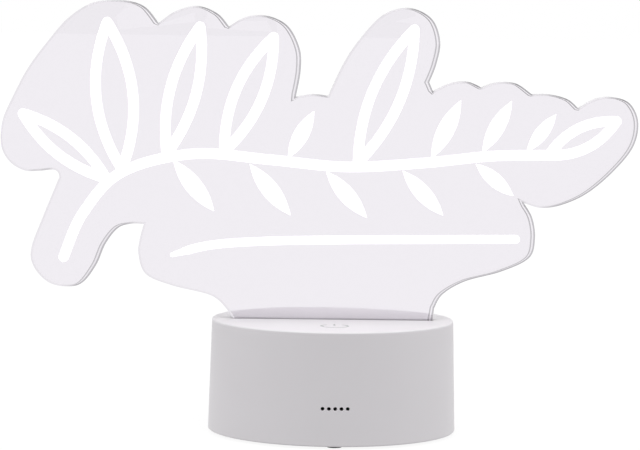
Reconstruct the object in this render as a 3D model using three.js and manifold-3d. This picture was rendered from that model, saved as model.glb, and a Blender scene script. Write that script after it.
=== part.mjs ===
// Edge-lit night light: a clear engraved acrylic panel stands in the slot of a round white base.
// The base holds the light strip under the panel, a touch switch, a remote receiver, a charging
// socket and three AA cells behind a sliding door.
// Millimetres, +Z up, the front faces -Y. The origin is the middle of the footprint, on the table.

import * as THREE from 'three';
import { mergeVertices } from 'three/addons/utils/BufferGeometryUtils.js';
import Module from 'manifold-3d';

const wasm = await Module();
wasm.setup();

// Driving dimensions: the base
const baseBottomDiameter = 87;
const baseTopDiameter = 84.9;
const baseHeight = 39.7;
const footProud = 0.9;
const sideWall = 2.2;
const topWall = 2.5;
const topEdgeRound = 1.2;

// Driving dimensions: the acrylic panel
const panelWidth = 223;
const panelHeight = 110.8;
const panelThickness = 5;
const tabDepth = 9.5;
const slotRim = 7.15;
const grooveDepth = 0.5;
const strokeWidth = 3.6;

// Driving dimensions: the cells, which are as long as the bay leaves room for
const cellDiameter = 14.5;
const cellGap = 0.4;
const bayMargin = 2.8;

// Gaps between pieces, and how far a cutting shape runs past a face
const clearance = 0.3;
const solderGap = 0.15;
const overrun = 1;
const weldTolerance = 0.0001;

// Fineness of the round shapes, in sides or steps
const baseSides = 72;
const padSides = 24;
const screwSides = 12;
const holeSides = 12;
const capSteps = 5;
const roundSteps = 4;

// Levels and places that several pieces share
const topUnderside = baseHeight - topWall;
const slotLength = baseTopDiameter - 2 * slotRim;
const slotWidth = panelThickness + 2 * clearance;
const tabWidth = slotLength - 2 * clearance;
const panelFront = -panelThickness / 2;

// How far a rib or a well runs into the wall that carries it
const rootShare = 0.25;
const root = sideWall * rootShare;

function outerRadiusAt(level) {
  const share = (level - footProud) / (baseHeight - footProud);
  return (baseBottomDiameter + share * (baseTopDiameter - baseBottomDiameter)) / 2;
}

function innerRadiusAt(level) {
  return outerRadiusAt(level) - sideWall;
}

// The least inner radius between the foot and a level
function roomUpTo(level) {
  return Math.min(innerRadiusAt(footProud), innerRadiusAt(level));
}

// A closed three.js geometry as a solid that can be joined and cut
function solid(geometry) {
  const bare = geometry.index ? geometry.toNonIndexed() : geometry.clone();
  bare.deleteAttribute('normal');
  bare.deleteAttribute('uv');
  const merged = mergeVertices(bare, weldTolerance);
  const corners = merged.index.array;
  const kept = [];
  for (let i = 0; i < corners.length; i += 3) {
    const [a, b, c] = corners.slice(i, i + 3);
    if (a !== b && b !== c && c !== a) kept.push(a, b, c);
  }
  return new wasm.Manifold(new wasm.Mesh({
    numProp: 3,
    vertProperties: new Float32Array(merged.attributes.position.array),
    triVerts: new Uint32Array(kept),
  }));
}

function joined(first, ...others) {
  return others.reduce((sum, other) => sum.add(other), first);
}

function cutBy(body, ...tools) {
  return tools.reduce((rest, tool) => rest.subtract(tool), body);
}

function block(x, y, z) {
  const shape = new THREE.BoxGeometry(x[1] - x[0], y[1] - y[0], z[1] - z[0]);
  return solid(shape.translate((x[0] + x[1]) / 2, (y[0] + y[1]) / 2, (z[0] + z[1]) / 2));
}

function upright(radius, z, x = 0, y = 0, sides = padSides) {
  const shape = new THREE.CylinderGeometry(radius, radius, z[1] - z[0], sides);
  return solid(shape.rotateX(Math.PI / 2).translate(x, y, (z[0] + z[1]) / 2));
}

function lying(radius, y, x, z, sides = holeSides) {
  const shape = new THREE.CylinderGeometry(radius, radius, y[1] - y[0], sides);
  return solid(shape.translate(x, (y[0] + y[1]) / 2, z));
}

// A profile of [radius, height] pairs turned about the vertical axis
function turned(profile, sides = baseSides) {
  const points = profile.map(([radius, level]) => new THREE.Vector2(radius, level));
  return solid(new THREE.LatheGeometry(points, sides).rotateX(Math.PI / 2));
}

// A flat outline in X and Y raised along Z
function raised(points, z) {
  const shape = new THREE.Shape(points);
  const plate = new THREE.ExtrudeGeometry(shape, { depth: z[1] - z[0], bevelEnabled: false });
  return solid(plate.translate(0, 0, z[0]));
}

// A flat outline in X and Z carried along Y
function standing(points, y) {
  const shape = new THREE.Shape(points);
  const plate = new THREE.ExtrudeGeometry(shape, { depth: y[1] - y[0], bevelEnabled: false });
  return solid(plate.rotateX(Math.PI / 2).translate(0, y[1], 0));
}

// The outline of a brush stroke: a curve given a width, with round ends
function strokeOutline(curve, steps, widthAt) {
  const left = [];
  const right = [];
  for (let i = 0; i <= steps; i += 1) {
    const share = i / steps;
    const middle = curve.getPoint(share);
    const along = curve.getTangent(share);
    const half = widthAt(share) / 2;
    left.push(new THREE.Vector2(middle.x - along.y * half, middle.y + along.x * half));
    right.unshift(new THREE.Vector2(middle.x + along.y * half, middle.y - along.x * half));
  }
  const cap = (share, start) => {
    const middle = curve.getPoint(share);
    const along = curve.getTangent(share);
    const half = widthAt(share) / 2;
    const points = [];
    for (let i = 1; i < capSteps; i += 1) {
      const angle = Math.atan2(along.y, along.x) + start - (Math.PI * i) / capSteps;
      points.push(new THREE.Vector2(middle.x + half * Math.cos(angle), middle.y + half * Math.sin(angle)));
    }
    return points;
  };
  return [...left, ...cap(1, Math.PI / 2), ...right, ...cap(0, -Math.PI / 2)];
}

const materials = {
  whitePlastic: { color: 0xf1eff2, roughness: 0.42, metalness: 0 },
  clearAcrylic: { color: 0xf1eef3, roughness: 0.05, metalness: 0, transparent: true, opacity: 0.4 },
  darkRubber: { color: 0x3a393b, roughness: 0.85, metalness: 0 },
  steel: { color: 0xb9bbbf, roughness: 0.35, metalness: 1 },
  circuitBoard: { color: 0x1f6b43, roughness: 0.5, metalness: 0 },
  ledLens: { color: 0xf6efc4, roughness: 0.3, metalness: 0 },
  blackResin: { color: 0x1b1b1d, roughness: 0.4, metalness: 0 },
  cellSleeve: { color: 0x6f7a86, roughness: 0.4, metalness: 0.3 },
  copper: { color: 0xc98a5c, roughness: 0.35, metalness: 1 },
  redWire: { color: 0xb3202a, roughness: 0.5, metalness: 0 },
  blackWire: { color: 0x222224, roughness: 0.5, metalness: 0 },
  whiteWire: { color: 0xe4e2e0, roughness: 0.5, metalness: 0 },
};

const lamp = new THREE.Group();

// Adds one named piece; place is where its own origin goes and turn its rotation
function piece(name, body, material, place = [0, 0, 0], turn = [0, 0, 0]) {
  const data = body.getMesh();
  const geometry = new THREE.BufferGeometry();
  geometry.setAttribute('position', new THREE.BufferAttribute(data.vertProperties, data.numProp));
  geometry.setIndex(new THREE.BufferAttribute(data.triVerts, 1));
  geometry.computeVertexNormals();
  const mesh = new THREE.Mesh(geometry, new THREE.MeshStandardMaterial(materials[material]));
  mesh.name = name;
  mesh.position.set(...place);
  mesh.rotation.set(...turn);
  lamp.add(mesh);
}

// Panel outline, clockwise from the left of the neck, as shares of the panel's width and of its
// height above the base. Each row is one smooth bulge; the rows meet in sharp notches.
const neckCentreShare = 0.524;
const bulgeShares = [
  [[0.356, 0.031], [0.331, 0.072], [0.27, 0.102], [0.229, 0.137], [0.217, 0.2], [0.219, 0.25],
    [0.225, 0.296]],
  [[0.225, 0.296], [0.204, 0.296], [0.184, 0.281], [0.165, 0.231], [0.151, 0.165], [0.129, 0.107],
    [0.103, 0.095], [0.075, 0.109], [0.053, 0.157], [0.049, 0.215], [0.067, 0.316], [0.088, 0.421],
    [0.092, 0.446], [0.084, 0.464], [0.06, 0.46], [0.037, 0.461], [0.014, 0.489], [0.001, 0.54],
    [0.003, 0.617], [0.019, 0.694], [0.042, 0.783], [0.073, 0.869], [0.105, 0.943], [0.143, 0.991],
    [0.187, 1], [0.222, 0.982], [0.245, 0.93]],
  [[0.245, 0.93], [0.272, 0.968], [0.306, 0.985], [0.337, 0.962], [0.355, 0.922]],
  [[0.355, 0.922], [0.382, 0.953], [0.415, 0.957], [0.447, 0.926], [0.466, 0.856], [0.468, 0.786],
    [0.461, 0.704]],
  [[0.461, 0.704], [0.488, 0.713], [0.512, 0.708]],
  [[0.512, 0.708], [0.534, 0.806], [0.559, 0.885], [0.596, 0.965], [0.636, 0.988], [0.672, 0.955],
    [0.686, 0.885], [0.681, 0.815], [0.67, 0.755]],
  [[0.67, 0.755], [0.673, 0.741], [0.676, 0.727]],
  [[0.676, 0.727], [0.701, 0.752], [0.729, 0.759], [0.752, 0.741]],
  [[0.752, 0.741], [0.777, 0.758], [0.806, 0.755], [0.831, 0.722]],
  [[0.831, 0.722], [0.86, 0.722], [0.888, 0.707], [0.905, 0.679]],
  [[0.905, 0.679], [0.927, 0.706], [0.954, 0.717], [0.985, 0.698], [1, 0.638], [0.993, 0.56],
    [0.963, 0.482], [0.923, 0.412], [0.884, 0.374], [0.85, 0.362], [0.822, 0.377]],
  [[0.822, 0.377], [0.836, 0.33], [0.841, 0.264], [0.832, 0.202], [0.788, 0.158], [0.732, 0.126],
    [0.697, 0.084], [0.684, 0.04]],
];
const outlineStep = 3;

function panelPoint([across, up]) {
  return new THREE.Vector2((across - neckCentreShare) * panelWidth, baseHeight + up * panelHeight);
}

function bulgePoints(shares) {
  const curve = new THREE.SplineCurve(shares.map(panelPoint));
  return curve.getSpacedPoints(Math.ceil(curve.getLength() / outlineStep)).slice(0, -1);
}

function panelOutline() {
  const tabBottom = baseHeight - tabDepth;
  const side = tabWidth / 2;
  const lastBulge = bulgeShares[bulgeShares.length - 1];
  return [
    new THREE.Vector2(-side, tabBottom),
    new THREE.Vector2(-side, baseHeight),
    ...bulgeShares.flatMap(bulgePoints),
    panelPoint(lastBulge[lastBulge.length - 1]),
    new THREE.Vector2(side, baseHeight),
    new THREE.Vector2(side, tabBottom),
  ];
}

// Engraving: a leafy sprig over a plain underline, in the same shares of the panel
const stemShares = [
  [0.1, 0.19], [0.13, 0.33], [0.19, 0.46], [0.3, 0.52], [0.42, 0.505], [0.54, 0.485], [0.66, 0.5],
  [0.77, 0.525], [0.86, 0.53],
];
const bigLeafShares = [
  { from: [0.165, 0.44], to: [0.035, 0.64], bow: 0.2 },
  { from: [0.19, 0.47], to: [0.165, 0.93], bow: 0.25 },
  { from: [0.26, 0.52], to: [0.31, 0.92], bow: 0.2 },
  { from: [0.35, 0.53], to: [0.425, 0.89], bow: 0.22 },
  { from: [0.56, 0.5], to: [0.645, 0.92], bow: 0.2 },
  { from: [0.86, 0.53], to: [0.965, 0.64], bow: 0.28 },
];
const smallLeafShares = [
  { from: [0.45, 0.51], to: [0.49, 0.66], bow: 0.28 },
  { from: [0.675, 0.515], to: [0.72, 0.7], bow: 0.26 },
  { from: [0.755, 0.535], to: [0.8, 0.7], bow: 0.26 },
  { from: [0.825, 0.54], to: [0.87, 0.66], bow: 0.28 },
  { from: [0.27, 0.5], to: [0.335, 0.34], bow: 0.26 },
  { from: [0.39, 0.49], to: [0.455, 0.33], bow: 0.26 },
  { from: [0.51, 0.47], to: [0.575, 0.325], bow: 0.26 },
  { from: [0.63, 0.475], to: [0.695, 0.335], bow: 0.26 },
  { from: [0.745, 0.5], to: [0.805, 0.4], bow: 0.28 },
];
const underlineShares = [
  [0.27, 0.2], [0.33, 0.232], [0.42, 0.247], [0.55, 0.254], [0.68, 0.258], [0.81, 0.262],
];
const underlineTaperShare = 0.1;
const underlineWidth = 3;
const stemSteps = 30;
const leafSteps = 8;

// The two bowed sides of a leaf, from its stalk to its point
function leafSides({ from, to, bow }) {
  const start = panelPoint(from);
  const end = panelPoint(to);
  const across = new THREE.Vector2(start.y - end.y, end.x - start.x).multiplyScalar(bow);
  const middle = start.clone().add(end).multiplyScalar(0.5);
  return [1, -1].map((side) => new THREE.QuadraticBezierCurve(
    start, middle.clone().addScaledVector(across, side), end));
}

function engraving() {
  const band = [panelFront - overrun, panelFront + grooveDepth];
  const even = () => strokeWidth;
  const tapered = (share) => {
    const grown = (share + underlineTaperShare / 2) / underlineTaperShare;
    return underlineWidth * Math.min(1, grown);
  };
  const stem = new THREE.SplineCurve(stemShares.map(panelPoint));
  const underline = new THREE.SplineCurve(underlineShares.map(panelPoint));
  const strokes = [
    standing(strokeOutline(stem, stemSteps, even), band),
    standing(strokeOutline(underline, stemSteps, tapered), band),
  ];
  for (const leaf of bigLeafShares) {
    for (const side of leafSides(leaf)) {
      strokes.push(standing(strokeOutline(side, leafSteps, even), band));
    }
  }
  for (const leaf of smallLeafShares) {
    const [left, right] = leafSides(leaf).map((side) => side.getPoints(leafSteps));
    strokes.push(standing([...left, ...right.slice(1, -1).reverse()], band));
  }
  return joined(...strokes);
}

const panelSolid = standing(panelOutline(), [panelFront, panelFront + panelThickness]);
piece('acrylic_panel', cutBy(panelSolid, engraving()), 'clearAcrylic');

// Stack inside the base, from the bottom up
const coverRecess = 0.3;
const coverThickness = 3;
const doorThickness = 1.8;
const bayRoof = 1.5;
const bayWall = 1.5;
const boardThickness = 1.6;
const boardOverBay = 2;
const coverBottom = footProud + coverRecess;
const coverTop = coverBottom + coverThickness;
const doorTop = coverBottom + doorThickness;
const cellLevel = doorTop + clearance + cellDiameter / 2;
const bayUnderside = cellLevel + cellDiameter / 2 + clearance;
const bayTop = bayUnderside + bayRoof;
const boardBottom = bayTop + boardOverBay;
const boardTop = boardBottom + boardThickness;

// Battery bay in plan: three cells side by side, their ends to front and rear. Its corners keep
// the bay's margin to the wall, which sets its length and so the cells'.
const cellPitch = cellDiameter + cellGap;
const springSpace = 3.8;
const plateThickness = 0.4;
const bayHalfWidth = cellPitch + cellDiameter / 2 + clearance;
const bayReach = roomUpTo(bayTop) - bayMargin;
const bayHalfLength = Math.sqrt(bayReach ** 2 - (bayHalfWidth + bayWall) ** 2) - bayWall;
const plateInner = bayHalfLength - clearance - plateThickness;
const cellLength = 2 * plateInner - springSpace - clearance;

// Screws: a self-tapping screw with its head down
const screwShankDiameter = 2.2;
const screwHeadDiameter = 4.2;
const screwHeadHeight = 1.4;
const screwRecess = 0.9;
const bossWall = 1.5;
const coverScrewLength = 8;
const trayScrewLength = 3.6;
const boardScrewLength = 6;
const screwTip = 0.8;
const screwCrownDiameter = 3.4;
const crossWidth = 0.7;
const crossLength = 2.8;
const crossDepth = 0.6;
const bossBore = screwShankDiameter / 2 + clearance;
const bossRadius = bossBore + bossWall;
const coverScrewInset = 4.3;
const coverScrewReach = roomUpTo(topUnderside) - coverScrewInset;
const coverScrewAngles = [20, 160, 200, 340].map(THREE.MathUtils.degToRad);

function screw(name, length, [x, y, seat]) {
  const head = screwHeadDiameter / 2;
  const shank = screwShankDiameter / 2;
  const body = turned([
    [0, -screwHeadHeight], [screwCrownDiameter / 2, -screwHeadHeight],
    [head, -screwHeadHeight / 2], [head, 0],
    [shank, 0], [shank, length - screwTip], [0, length],
  ], screwSides);
  const bar = [-crossLength / 2, crossLength / 2];
  const slot = [-crossWidth / 2, crossWidth / 2];
  const depth = [-screwHeadHeight - overrun, -screwHeadHeight + crossDepth];
  piece(name, cutBy(body, block(bar, slot, depth), block(slot, bar, depth)), 'steel', [x, y, seat]);
}

// Light tray under the slot: it guides the panel's tab and holds the light strip below it
const trayFloor = 1.6;
const ledBoardLength = tabWidth;
const ledBoardWidth = 8;
const ledBoardThickness = 1.2;
const trayWall = 1.2;
const trayLip = 0.7;
const trayLipReach = 1;
const trayTop = topUnderside - clearance;
const trayCavityBottom = baseHeight - tabDepth - clearance;
const trayFloorBottom = trayCavityBottom - trayFloor;
const ledBoardTop = trayFloorBottom - clearance;
const ledBoardBottom = ledBoardTop - ledBoardThickness;
const trayBottom = ledBoardBottom - clearance - trayLip;
const trayHalfWidth = Math.max(ledBoardWidth, slotWidth) / 2 + clearance + trayWall;
const trayHalfLength = Math.max(ledBoardLength, slotLength) / 2 + clearance + trayWall;
const ledSize = 5;
const ledHeight = 1.5;
const ledDishDiameter = 3.8;
const ledDishDepth = 0.2;
const ledCount = 6;
const ledPitch = ledBoardLength / ledCount;
const earThickness = 1.6;
const earDrop = 2.6;
const trayScrewX = 20;
const earRadius = bossRadius;
const trayScrewY = trayHalfWidth + clearance + bossRadius;
const trayScrewPlaces = [[trayScrewX, trayScrewY], [-trayScrewX, -trayScrewY]];
const earTop = topUnderside - earDrop;
const earBottom = earTop - earThickness;

// Control board behind the tray, hung on two bosses
const boardHalfWidth = 13;
const boardFront = 8;
const boardWallGap = 2.2;
const boardRear = Math.sqrt(innerRadiusAt(boardBottom) ** 2 - boardHalfWidth ** 2) - boardWallGap;
const boardScrewX = 9;
const boardScrewY = 13;
const boardScrewPlaces = [[boardScrewX, boardScrewY], [-boardScrewX, boardScrewY]];

// Charging socket and the well that it looks into, through the rear wall
const socketWidth = 7.5;
const socketHeight = 2.7;
const socketDepth = 5.2;
const socketOverhang = 1.5;
const socketMetal = 0.35;
const socketCorner = 0.95;
const bladeWidth = 3.8;
const bladeThickness = 0.6;
const bladeRise = 0.3;
const bladeRecess = 0.7;
const wellHalfWidth = 5.5;
const wellHalfHeight = 3.6;
const wellWall = 1.2;
const socketLevel = boardTop + solderGap + socketHeight / 2;
const socketMouth = boardRear + socketOverhang;
const wellInner = boardRear + clearance;

// Receiver board standing behind the front wall, in two grooved rails
const receiverWidth = 6;
const receiverHeight = 7;
const receiverDepth = 2.6;
const lensRadius = 2.3;
const lensRise = 1.4;
const lensWallGap = 1;
const receiverBoardHalfWidth = 8;
const receiverBoardThickness = 1.2;
const receiverBoardHeight = 15.6;
const railGrip = 0.7;
const railFloor = 1.4;
const holeDiameter = 1.3;
const holePitch = 2.13;
const holeCount = 5;
const holeLevel = 13.8;
const lensFront = lensWallGap - innerRadiusAt(holeLevel);
const receiverBoardFront = lensFront + lensRise + receiverDepth + solderGap;
const receiverBoardRear = receiverBoardFront + receiverBoardThickness;
const receiverBoardBottom = coverTop + clearance;

// Touch mark engraved in the top: an open ring and a bar
const markDiameter = 10;
const markLine = 0.8;
const markDepth = 0.25;
const markBarLength = 3.2;
const markY = -23;
const markGap = THREE.MathUtils.degToRad(38);
const markSteps = 24;

function markCuts() {
  const radius = (markDiameter - markLine) / 2;
  const rear = Math.PI / 2;
  const ring = new THREE.EllipseCurve(
    0, markY, radius, radius, rear + markGap, rear + Math.PI * 2 - markGap);
  const bar = new THREE.LineCurve(
    new THREE.Vector2(0, markY + radius - markBarLength), new THREE.Vector2(0, markY + radius));
  const depth = [baseHeight - markDepth, baseHeight + overrun];
  const line = () => markLine;
  return [
    raised(strokeOutline(ring, markSteps, line), depth),
    raised(strokeOutline(bar, 1, line), depth),
  ];
}

function boss([x, y], bottom, bore) {
  const level = [bottom, topUnderside + topWall / 2];
  return cutBy(
    upright(bossRadius, level, x, y, screwSides),
    upright(bossBore, [bottom - overrun, bottom + bore], x, y, screwSides));
}

function receiverRail(side) {
  const inner = receiverBoardHalfWidth - railGrip;
  const outer = receiverBoardHalfWidth + clearance + railFloor;
  const front = -Math.sqrt(innerRadiusAt(holeLevel) ** 2 - outer ** 2) - root;
  const level = [receiverBoardBottom, receiverBoardBottom + receiverBoardHeight];
  const rail = block([inner, outer], [front, receiverBoardRear + clearance + railFloor], level);
  const groove = block(
    [inner - overrun, receiverBoardHalfWidth + clearance],
    [receiverBoardFront - clearance, receiverBoardRear + clearance],
    [level[0] - overrun, level[1] + overrun]);
  const body = cutBy(rail, groove);
  return side > 0 ? body : body.mirror([1, 0, 0]);
}

function baseHousing() {
  const bottomRadius = baseBottomDiameter / 2;
  const topRadius = outerRadiusAt(baseHeight);
  const edge = [];
  for (let i = 0; i <= roundSteps; i += 1) {
    const angle = (Math.PI / 2) * (i / roundSteps);
    edge.push([
      topRadius - topEdgeRound * (1 - Math.cos(angle)),
      baseHeight - topEdgeRound * (1 - Math.sin(angle)),
    ]);
  }
  const shell = turned([
    [0, topUnderside], [innerRadiusAt(topUnderside), topUnderside],
    [innerRadiusAt(footProud), footProud], [bottomRadius, footProud], ...edge, [0, baseHeight],
  ]);
  const rear = outerRadiusAt(socketLevel);
  const wellOuter = block(
    [-wellHalfWidth - wellWall, wellHalfWidth + wellWall], [wellInner, rear - sideWall / 2],
    [socketLevel - wellHalfHeight - wellWall, socketLevel + wellHalfHeight + wellWall]);
  const wellBore = block(
    [-wellHalfWidth, wellHalfWidth], [wellInner - overrun, rear + overrun],
    [socketLevel - wellHalfHeight, socketLevel + wellHalfHeight]);
  const coverBosses = coverScrewAngles.flatMap((angle) => {
    const place = [coverScrewReach * Math.cos(angle), coverScrewReach * Math.sin(angle)];
    const inWall = Math.sqrt(roomUpTo(topUnderside) ** 2 - place[1] ** 2) + 2 * root;
    const rib = [Math.abs(place[0]) + bossBore + clearance, inWall];
    const body = block(
      place[0] > 0 ? rib : [-rib[1], -rib[0]], [place[1] - bossWall / 2, place[1] + bossWall / 2],
      [coverTop + clearance + bossWall, topUnderside + topWall / 2]);
    return [boss(place, coverTop + clearance, coverScrewLength + overrun), body];
  });
  const holes = [];
  for (let i = 0; i < holeCount; i += 1) {
    const x = (i - (holeCount - 1) / 2) * holePitch;
    const front = outerRadiusAt(holeLevel);
    holes.push(lying(holeDiameter / 2, [-front - overrun, overrun + sideWall - front], x, holeLevel));
  }
  const slot = block(
    [-slotLength / 2, slotLength / 2], [-slotWidth / 2, slotWidth / 2],
    [topUnderside - overrun, baseHeight + overrun]);
  const whole = joined(
    shell, wellOuter, ...coverBosses,
    ...trayScrewPlaces.map((place) => boss(place, earTop + clearance, earDrop + topWall / 2)),
    ...boardScrewPlaces.map((place) => boss(place, boardTop + clearance, boardScrewLength)),
    receiverRail(1), receiverRail(-1));
  return cutBy(whole, wellBore, slot, ...holes, ...markCuts());
}

piece('base_housing', baseHousing(), 'whitePlastic');

// Bottom cover with the battery bay on its back, and the door that slides under the bay
const doorLap = 0.8;
const doorTravel = 3;
const railReach = 1.2;
const railHeight = 0.8;
const railEnd = 20;
const padDiameter = 5.5;
const padSeat = 0.5;
const padInset = 5.9;
const padReach = baseBottomDiameter / 2 - padInset;
const tabStripWidth = 3;
const tabStripRise = 1;
const doorHalfWidth = bayHalfWidth + doorLap;
const doorHalfLength = bayHalfLength + doorLap;
const railBottom = coverBottom + (doorThickness - railHeight) / 2;
const padTop = coverBottom + padSeat - clearance;
const plateLevel = plateInner + plateThickness / 2;
const padPlaces = {
  front: [0, -padReach], rear: [0, padReach], left: [-padReach, 0], right: [padReach, 0],
};

function bottomCover() {
  const plate = upright(innerRadiusAt(footProud) - clearance, [coverBottom, coverTop], 0, 0, baseSides);
  const bay = block(
    [-bayHalfWidth - bayWall, bayHalfWidth + bayWall],
    [-bayHalfLength - bayWall, bayHalfLength + bayWall], [coverBottom, bayTop]);
  const below = coverBottom - overrun;
  const cavity = block(
    [-bayHalfWidth, bayHalfWidth], [-bayHalfLength, bayHalfLength], [below, bayUnderside]);
  const doorSeat = block(
    [-doorHalfWidth - clearance, doorHalfWidth + clearance],
    [-doorHalfLength - clearance, doorHalfLength + clearance + doorTravel],
    [below, doorTop + clearance]);
  const reach = doorHalfWidth + railReach + clearance;
  const grooves = block(
    [-reach, reach], [-doorHalfLength - clearance, railEnd + clearance + doorTravel],
    [railBottom - clearance, railBottom + railHeight + clearance]);
  const cuts = [cavity, doorSeat, grooves];
  for (const angle of coverScrewAngles) {
    const x = coverScrewReach * Math.cos(angle);
    const y = coverScrewReach * Math.sin(angle);
    const seat = coverBottom + screwRecess + screwHeadHeight;
    cuts.push(
      upright(screwHeadDiameter / 2 + clearance, [below, seat - clearance], x, y, screwSides),
      upright(bossBore, [below, coverTop + overrun], x, y, screwSides));
  }
  for (const [x, y] of Object.values(padPlaces)) {
    cuts.push(upright(padDiameter / 2 + clearance, [below, coverBottom + padSeat], x, y));
  }
  for (const side of [1, -1]) {
    const half = tabStripWidth / 2 + clearance;
    const reachIn = plateThickness / 2 + clearance;
    cuts.push(block(
      [-side * cellPitch - half, -side * cellPitch + half],
      [side * plateLevel - reachIn, side * plateLevel + reachIn],
      [bayUnderside - overrun, bayTop + overrun]));
  }
  return cutBy(joined(plate, bay), ...cuts);
}

const gripCount = 4;
const gripPitch = 2;
const gripWidth = 1;
const gripDepth = 0.5;
const gripLength = 14;
const gripFromEnd = 6;
const arrowWidth = 7;
const arrowLength = 3.5;

function batteryDoor() {
  const plate = block(
    [-doorHalfWidth, doorHalfWidth], [-doorHalfLength, doorHalfLength], [coverBottom, doorTop]);
  const rails = block(
    [-doorHalfWidth - railReach, doorHalfWidth + railReach], [-doorHalfLength, railEnd],
    [railBottom, railBottom + railHeight]);
  const grips = [];
  for (let i = 0; i < gripCount; i += 1) {
    const y = gripFromEnd + i * gripPitch - doorHalfLength;
    grips.push(block(
      [-gripLength / 2, gripLength / 2], [y - gripWidth / 2, y + gripWidth / 2],
      [coverBottom - overrun, coverBottom + gripDepth]));
  }
  const arrowTop = gripFromEnd + (gripCount + 1) * gripPitch - doorHalfLength;
  const arrow = raised([
    new THREE.Vector2(-arrowWidth / 2, arrowTop), new THREE.Vector2(arrowWidth / 2, arrowTop),
    new THREE.Vector2(0, arrowTop + arrowLength),
  ], [coverBottom - overrun, coverBottom + gripDepth]);
  return cutBy(joined(plate, rails), ...grips, arrow);
}

piece('bottom_cover', bottomCover(), 'whitePlastic');
piece('battery_door', batteryDoor(), 'whitePlastic');
for (const [side, [x, y]] of Object.entries(padPlaces)) {
  piece(`foot_pad_${side}`, upright(padDiameter / 2, [0, padTop]), 'darkRubber', [x, y, 0]);
}
coverScrewAngles.forEach((angle, i) => {
  const seat = coverBottom + screwRecess + screwHeadHeight - 2 * clearance;
  screw(`cover_screw_${i + 1}`, coverScrewLength, [
    coverScrewReach * Math.cos(angle), coverScrewReach * Math.sin(angle), seat]);
});

// Light tray, light strip and its lamps
function ledPlaces() {
  return Array.from({ length: ledCount }, (_, i) => (i - (ledCount - 1) / 2) * ledPitch);
}

function lightTray() {
  const body = block(
    [-trayHalfLength, trayHalfLength], [-trayHalfWidth, trayHalfWidth], [trayBottom, trayTop]);
  const ears = trayScrewPlaces.map(([x, y]) => joined(
    upright(earRadius, [earBottom, earTop], x, y, screwSides),
    block([x - earRadius, x + earRadius], [Math.min(0, y), Math.max(0, y)], [earBottom, earTop])));
  const cavity = block(
    [-slotLength / 2, slotLength / 2], [-slotWidth / 2, slotWidth / 2],
    [trayCavityBottom, trayTop + overrun]);
  const pocketHalf = ledBoardLength / 2 + clearance;
  const pocketSide = ledBoardWidth / 2 + clearance;
  const pocket = block([-pocketHalf, pocketHalf], [-pocketSide, pocketSide],
    [ledBoardBottom - clearance, trayFloorBottom]);
  const mouth = block(
    [trayLipReach - pocketHalf, pocketHalf - trayLipReach], [-pocketSide, pocketSide],
    [trayBottom - overrun, ledBoardBottom]);
  const window = ledSize / 2 + clearance;
  const windows = ledPlaces().map((x) => block(
    [x - window, x + window], [-window, window],
    [trayFloorBottom - overrun, trayCavityBottom + overrun]));
  const bores = trayScrewPlaces.map(([x, y]) => upright(
    bossBore, [earBottom - overrun, earTop + overrun], x, y, screwSides));
  return cutBy(joined(body, ...ears), cavity, pocket, mouth, ...windows, ...bores);
}

piece('led_tray', lightTray(), 'whitePlastic');
trayScrewPlaces.forEach(([x, y], i) => {
  screw(`tray_screw_${i + 1}`, trayScrewLength, [x, y, earBottom - clearance]);
});
piece('led_board', block(
  [-ledBoardLength / 2, ledBoardLength / 2], [-ledBoardWidth / 2, ledBoardWidth / 2],
  [0, ledBoardThickness]), 'circuitBoard', [0, 0, ledBoardBottom]);
ledPlaces().forEach((x, i) => {
  const half = [-ledSize / 2, ledSize / 2];
  const dish = upright(ledDishDiameter / 2, [ledHeight - ledDishDepth, ledHeight + overrun]);
  piece(`led_${i + 1}`, cutBy(block(half, half, [0, ledHeight]), dish), 'ledLens',
    [x, 0, ledBoardTop + solderGap]);
});

// Control board with its parts
const chipSize = [5, 4, 1.5];
const chipPlace = [-5.5, 22];
const capacitorDiameter = 5;
const capacitorHeight = 7;
const capacitorPlace = [6, 22];
const boardBoreGap = 0.2;

const boardBore = screwShankDiameter / 2 + boardBoreGap;
piece('control_board', cutBy(
  block([-boardHalfWidth, boardHalfWidth], [boardFront, boardRear], [boardBottom, boardTop]),
  ...boardScrewPlaces.map(([x, y]) => upright(
    boardBore, [boardBottom - overrun, boardTop + overrun], x, y, screwSides)),
), 'circuitBoard');
boardScrewPlaces.forEach(([x, y], i) => {
  screw(`board_screw_${i + 1}`, boardScrewLength, [x, y, boardBottom - clearance]);
});
piece('touch_chip', block(
  [-chipSize[0] / 2, chipSize[0] / 2], [-chipSize[1] / 2, chipSize[1] / 2], [0, chipSize[2]]),
'blackResin', [...chipPlace, boardTop + solderGap]);
piece('capacitor', upright(capacitorDiameter / 2, [0, capacitorHeight]), 'blackResin',
  [...capacitorPlace, boardTop + solderGap]);

function usbSocket() {
  const half = socketWidth / 2;
  const shell = (inset) => [
    new THREE.Vector2(-half + inset, socketHeight / 2 - inset),
    new THREE.Vector2(-half + inset, socketCorner - socketHeight / 2),
    new THREE.Vector2(-half + inset + socketCorner, inset - socketHeight / 2),
    new THREE.Vector2(half - inset - socketCorner, inset - socketHeight / 2),
    new THREE.Vector2(half - inset, socketCorner - socketHeight / 2),
    new THREE.Vector2(half - inset, socketHeight / 2 - inset),
  ];
  const body = standing(shell(0).reverse(), [-socketDepth, 0]);
  const mouth = standing(shell(socketMetal).reverse(), [2 * socketMetal - socketDepth, overrun]);
  const blade = block(
    [-bladeWidth / 2, bladeWidth / 2], [socketMetal - socketDepth, -bladeRecess],
    [bladeRise, bladeRise + bladeThickness]);
  return joined(cutBy(body, mouth), blade);
}

piece('usb_socket', usbSocket(), 'steel', [0, socketMouth, socketLevel]);

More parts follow.
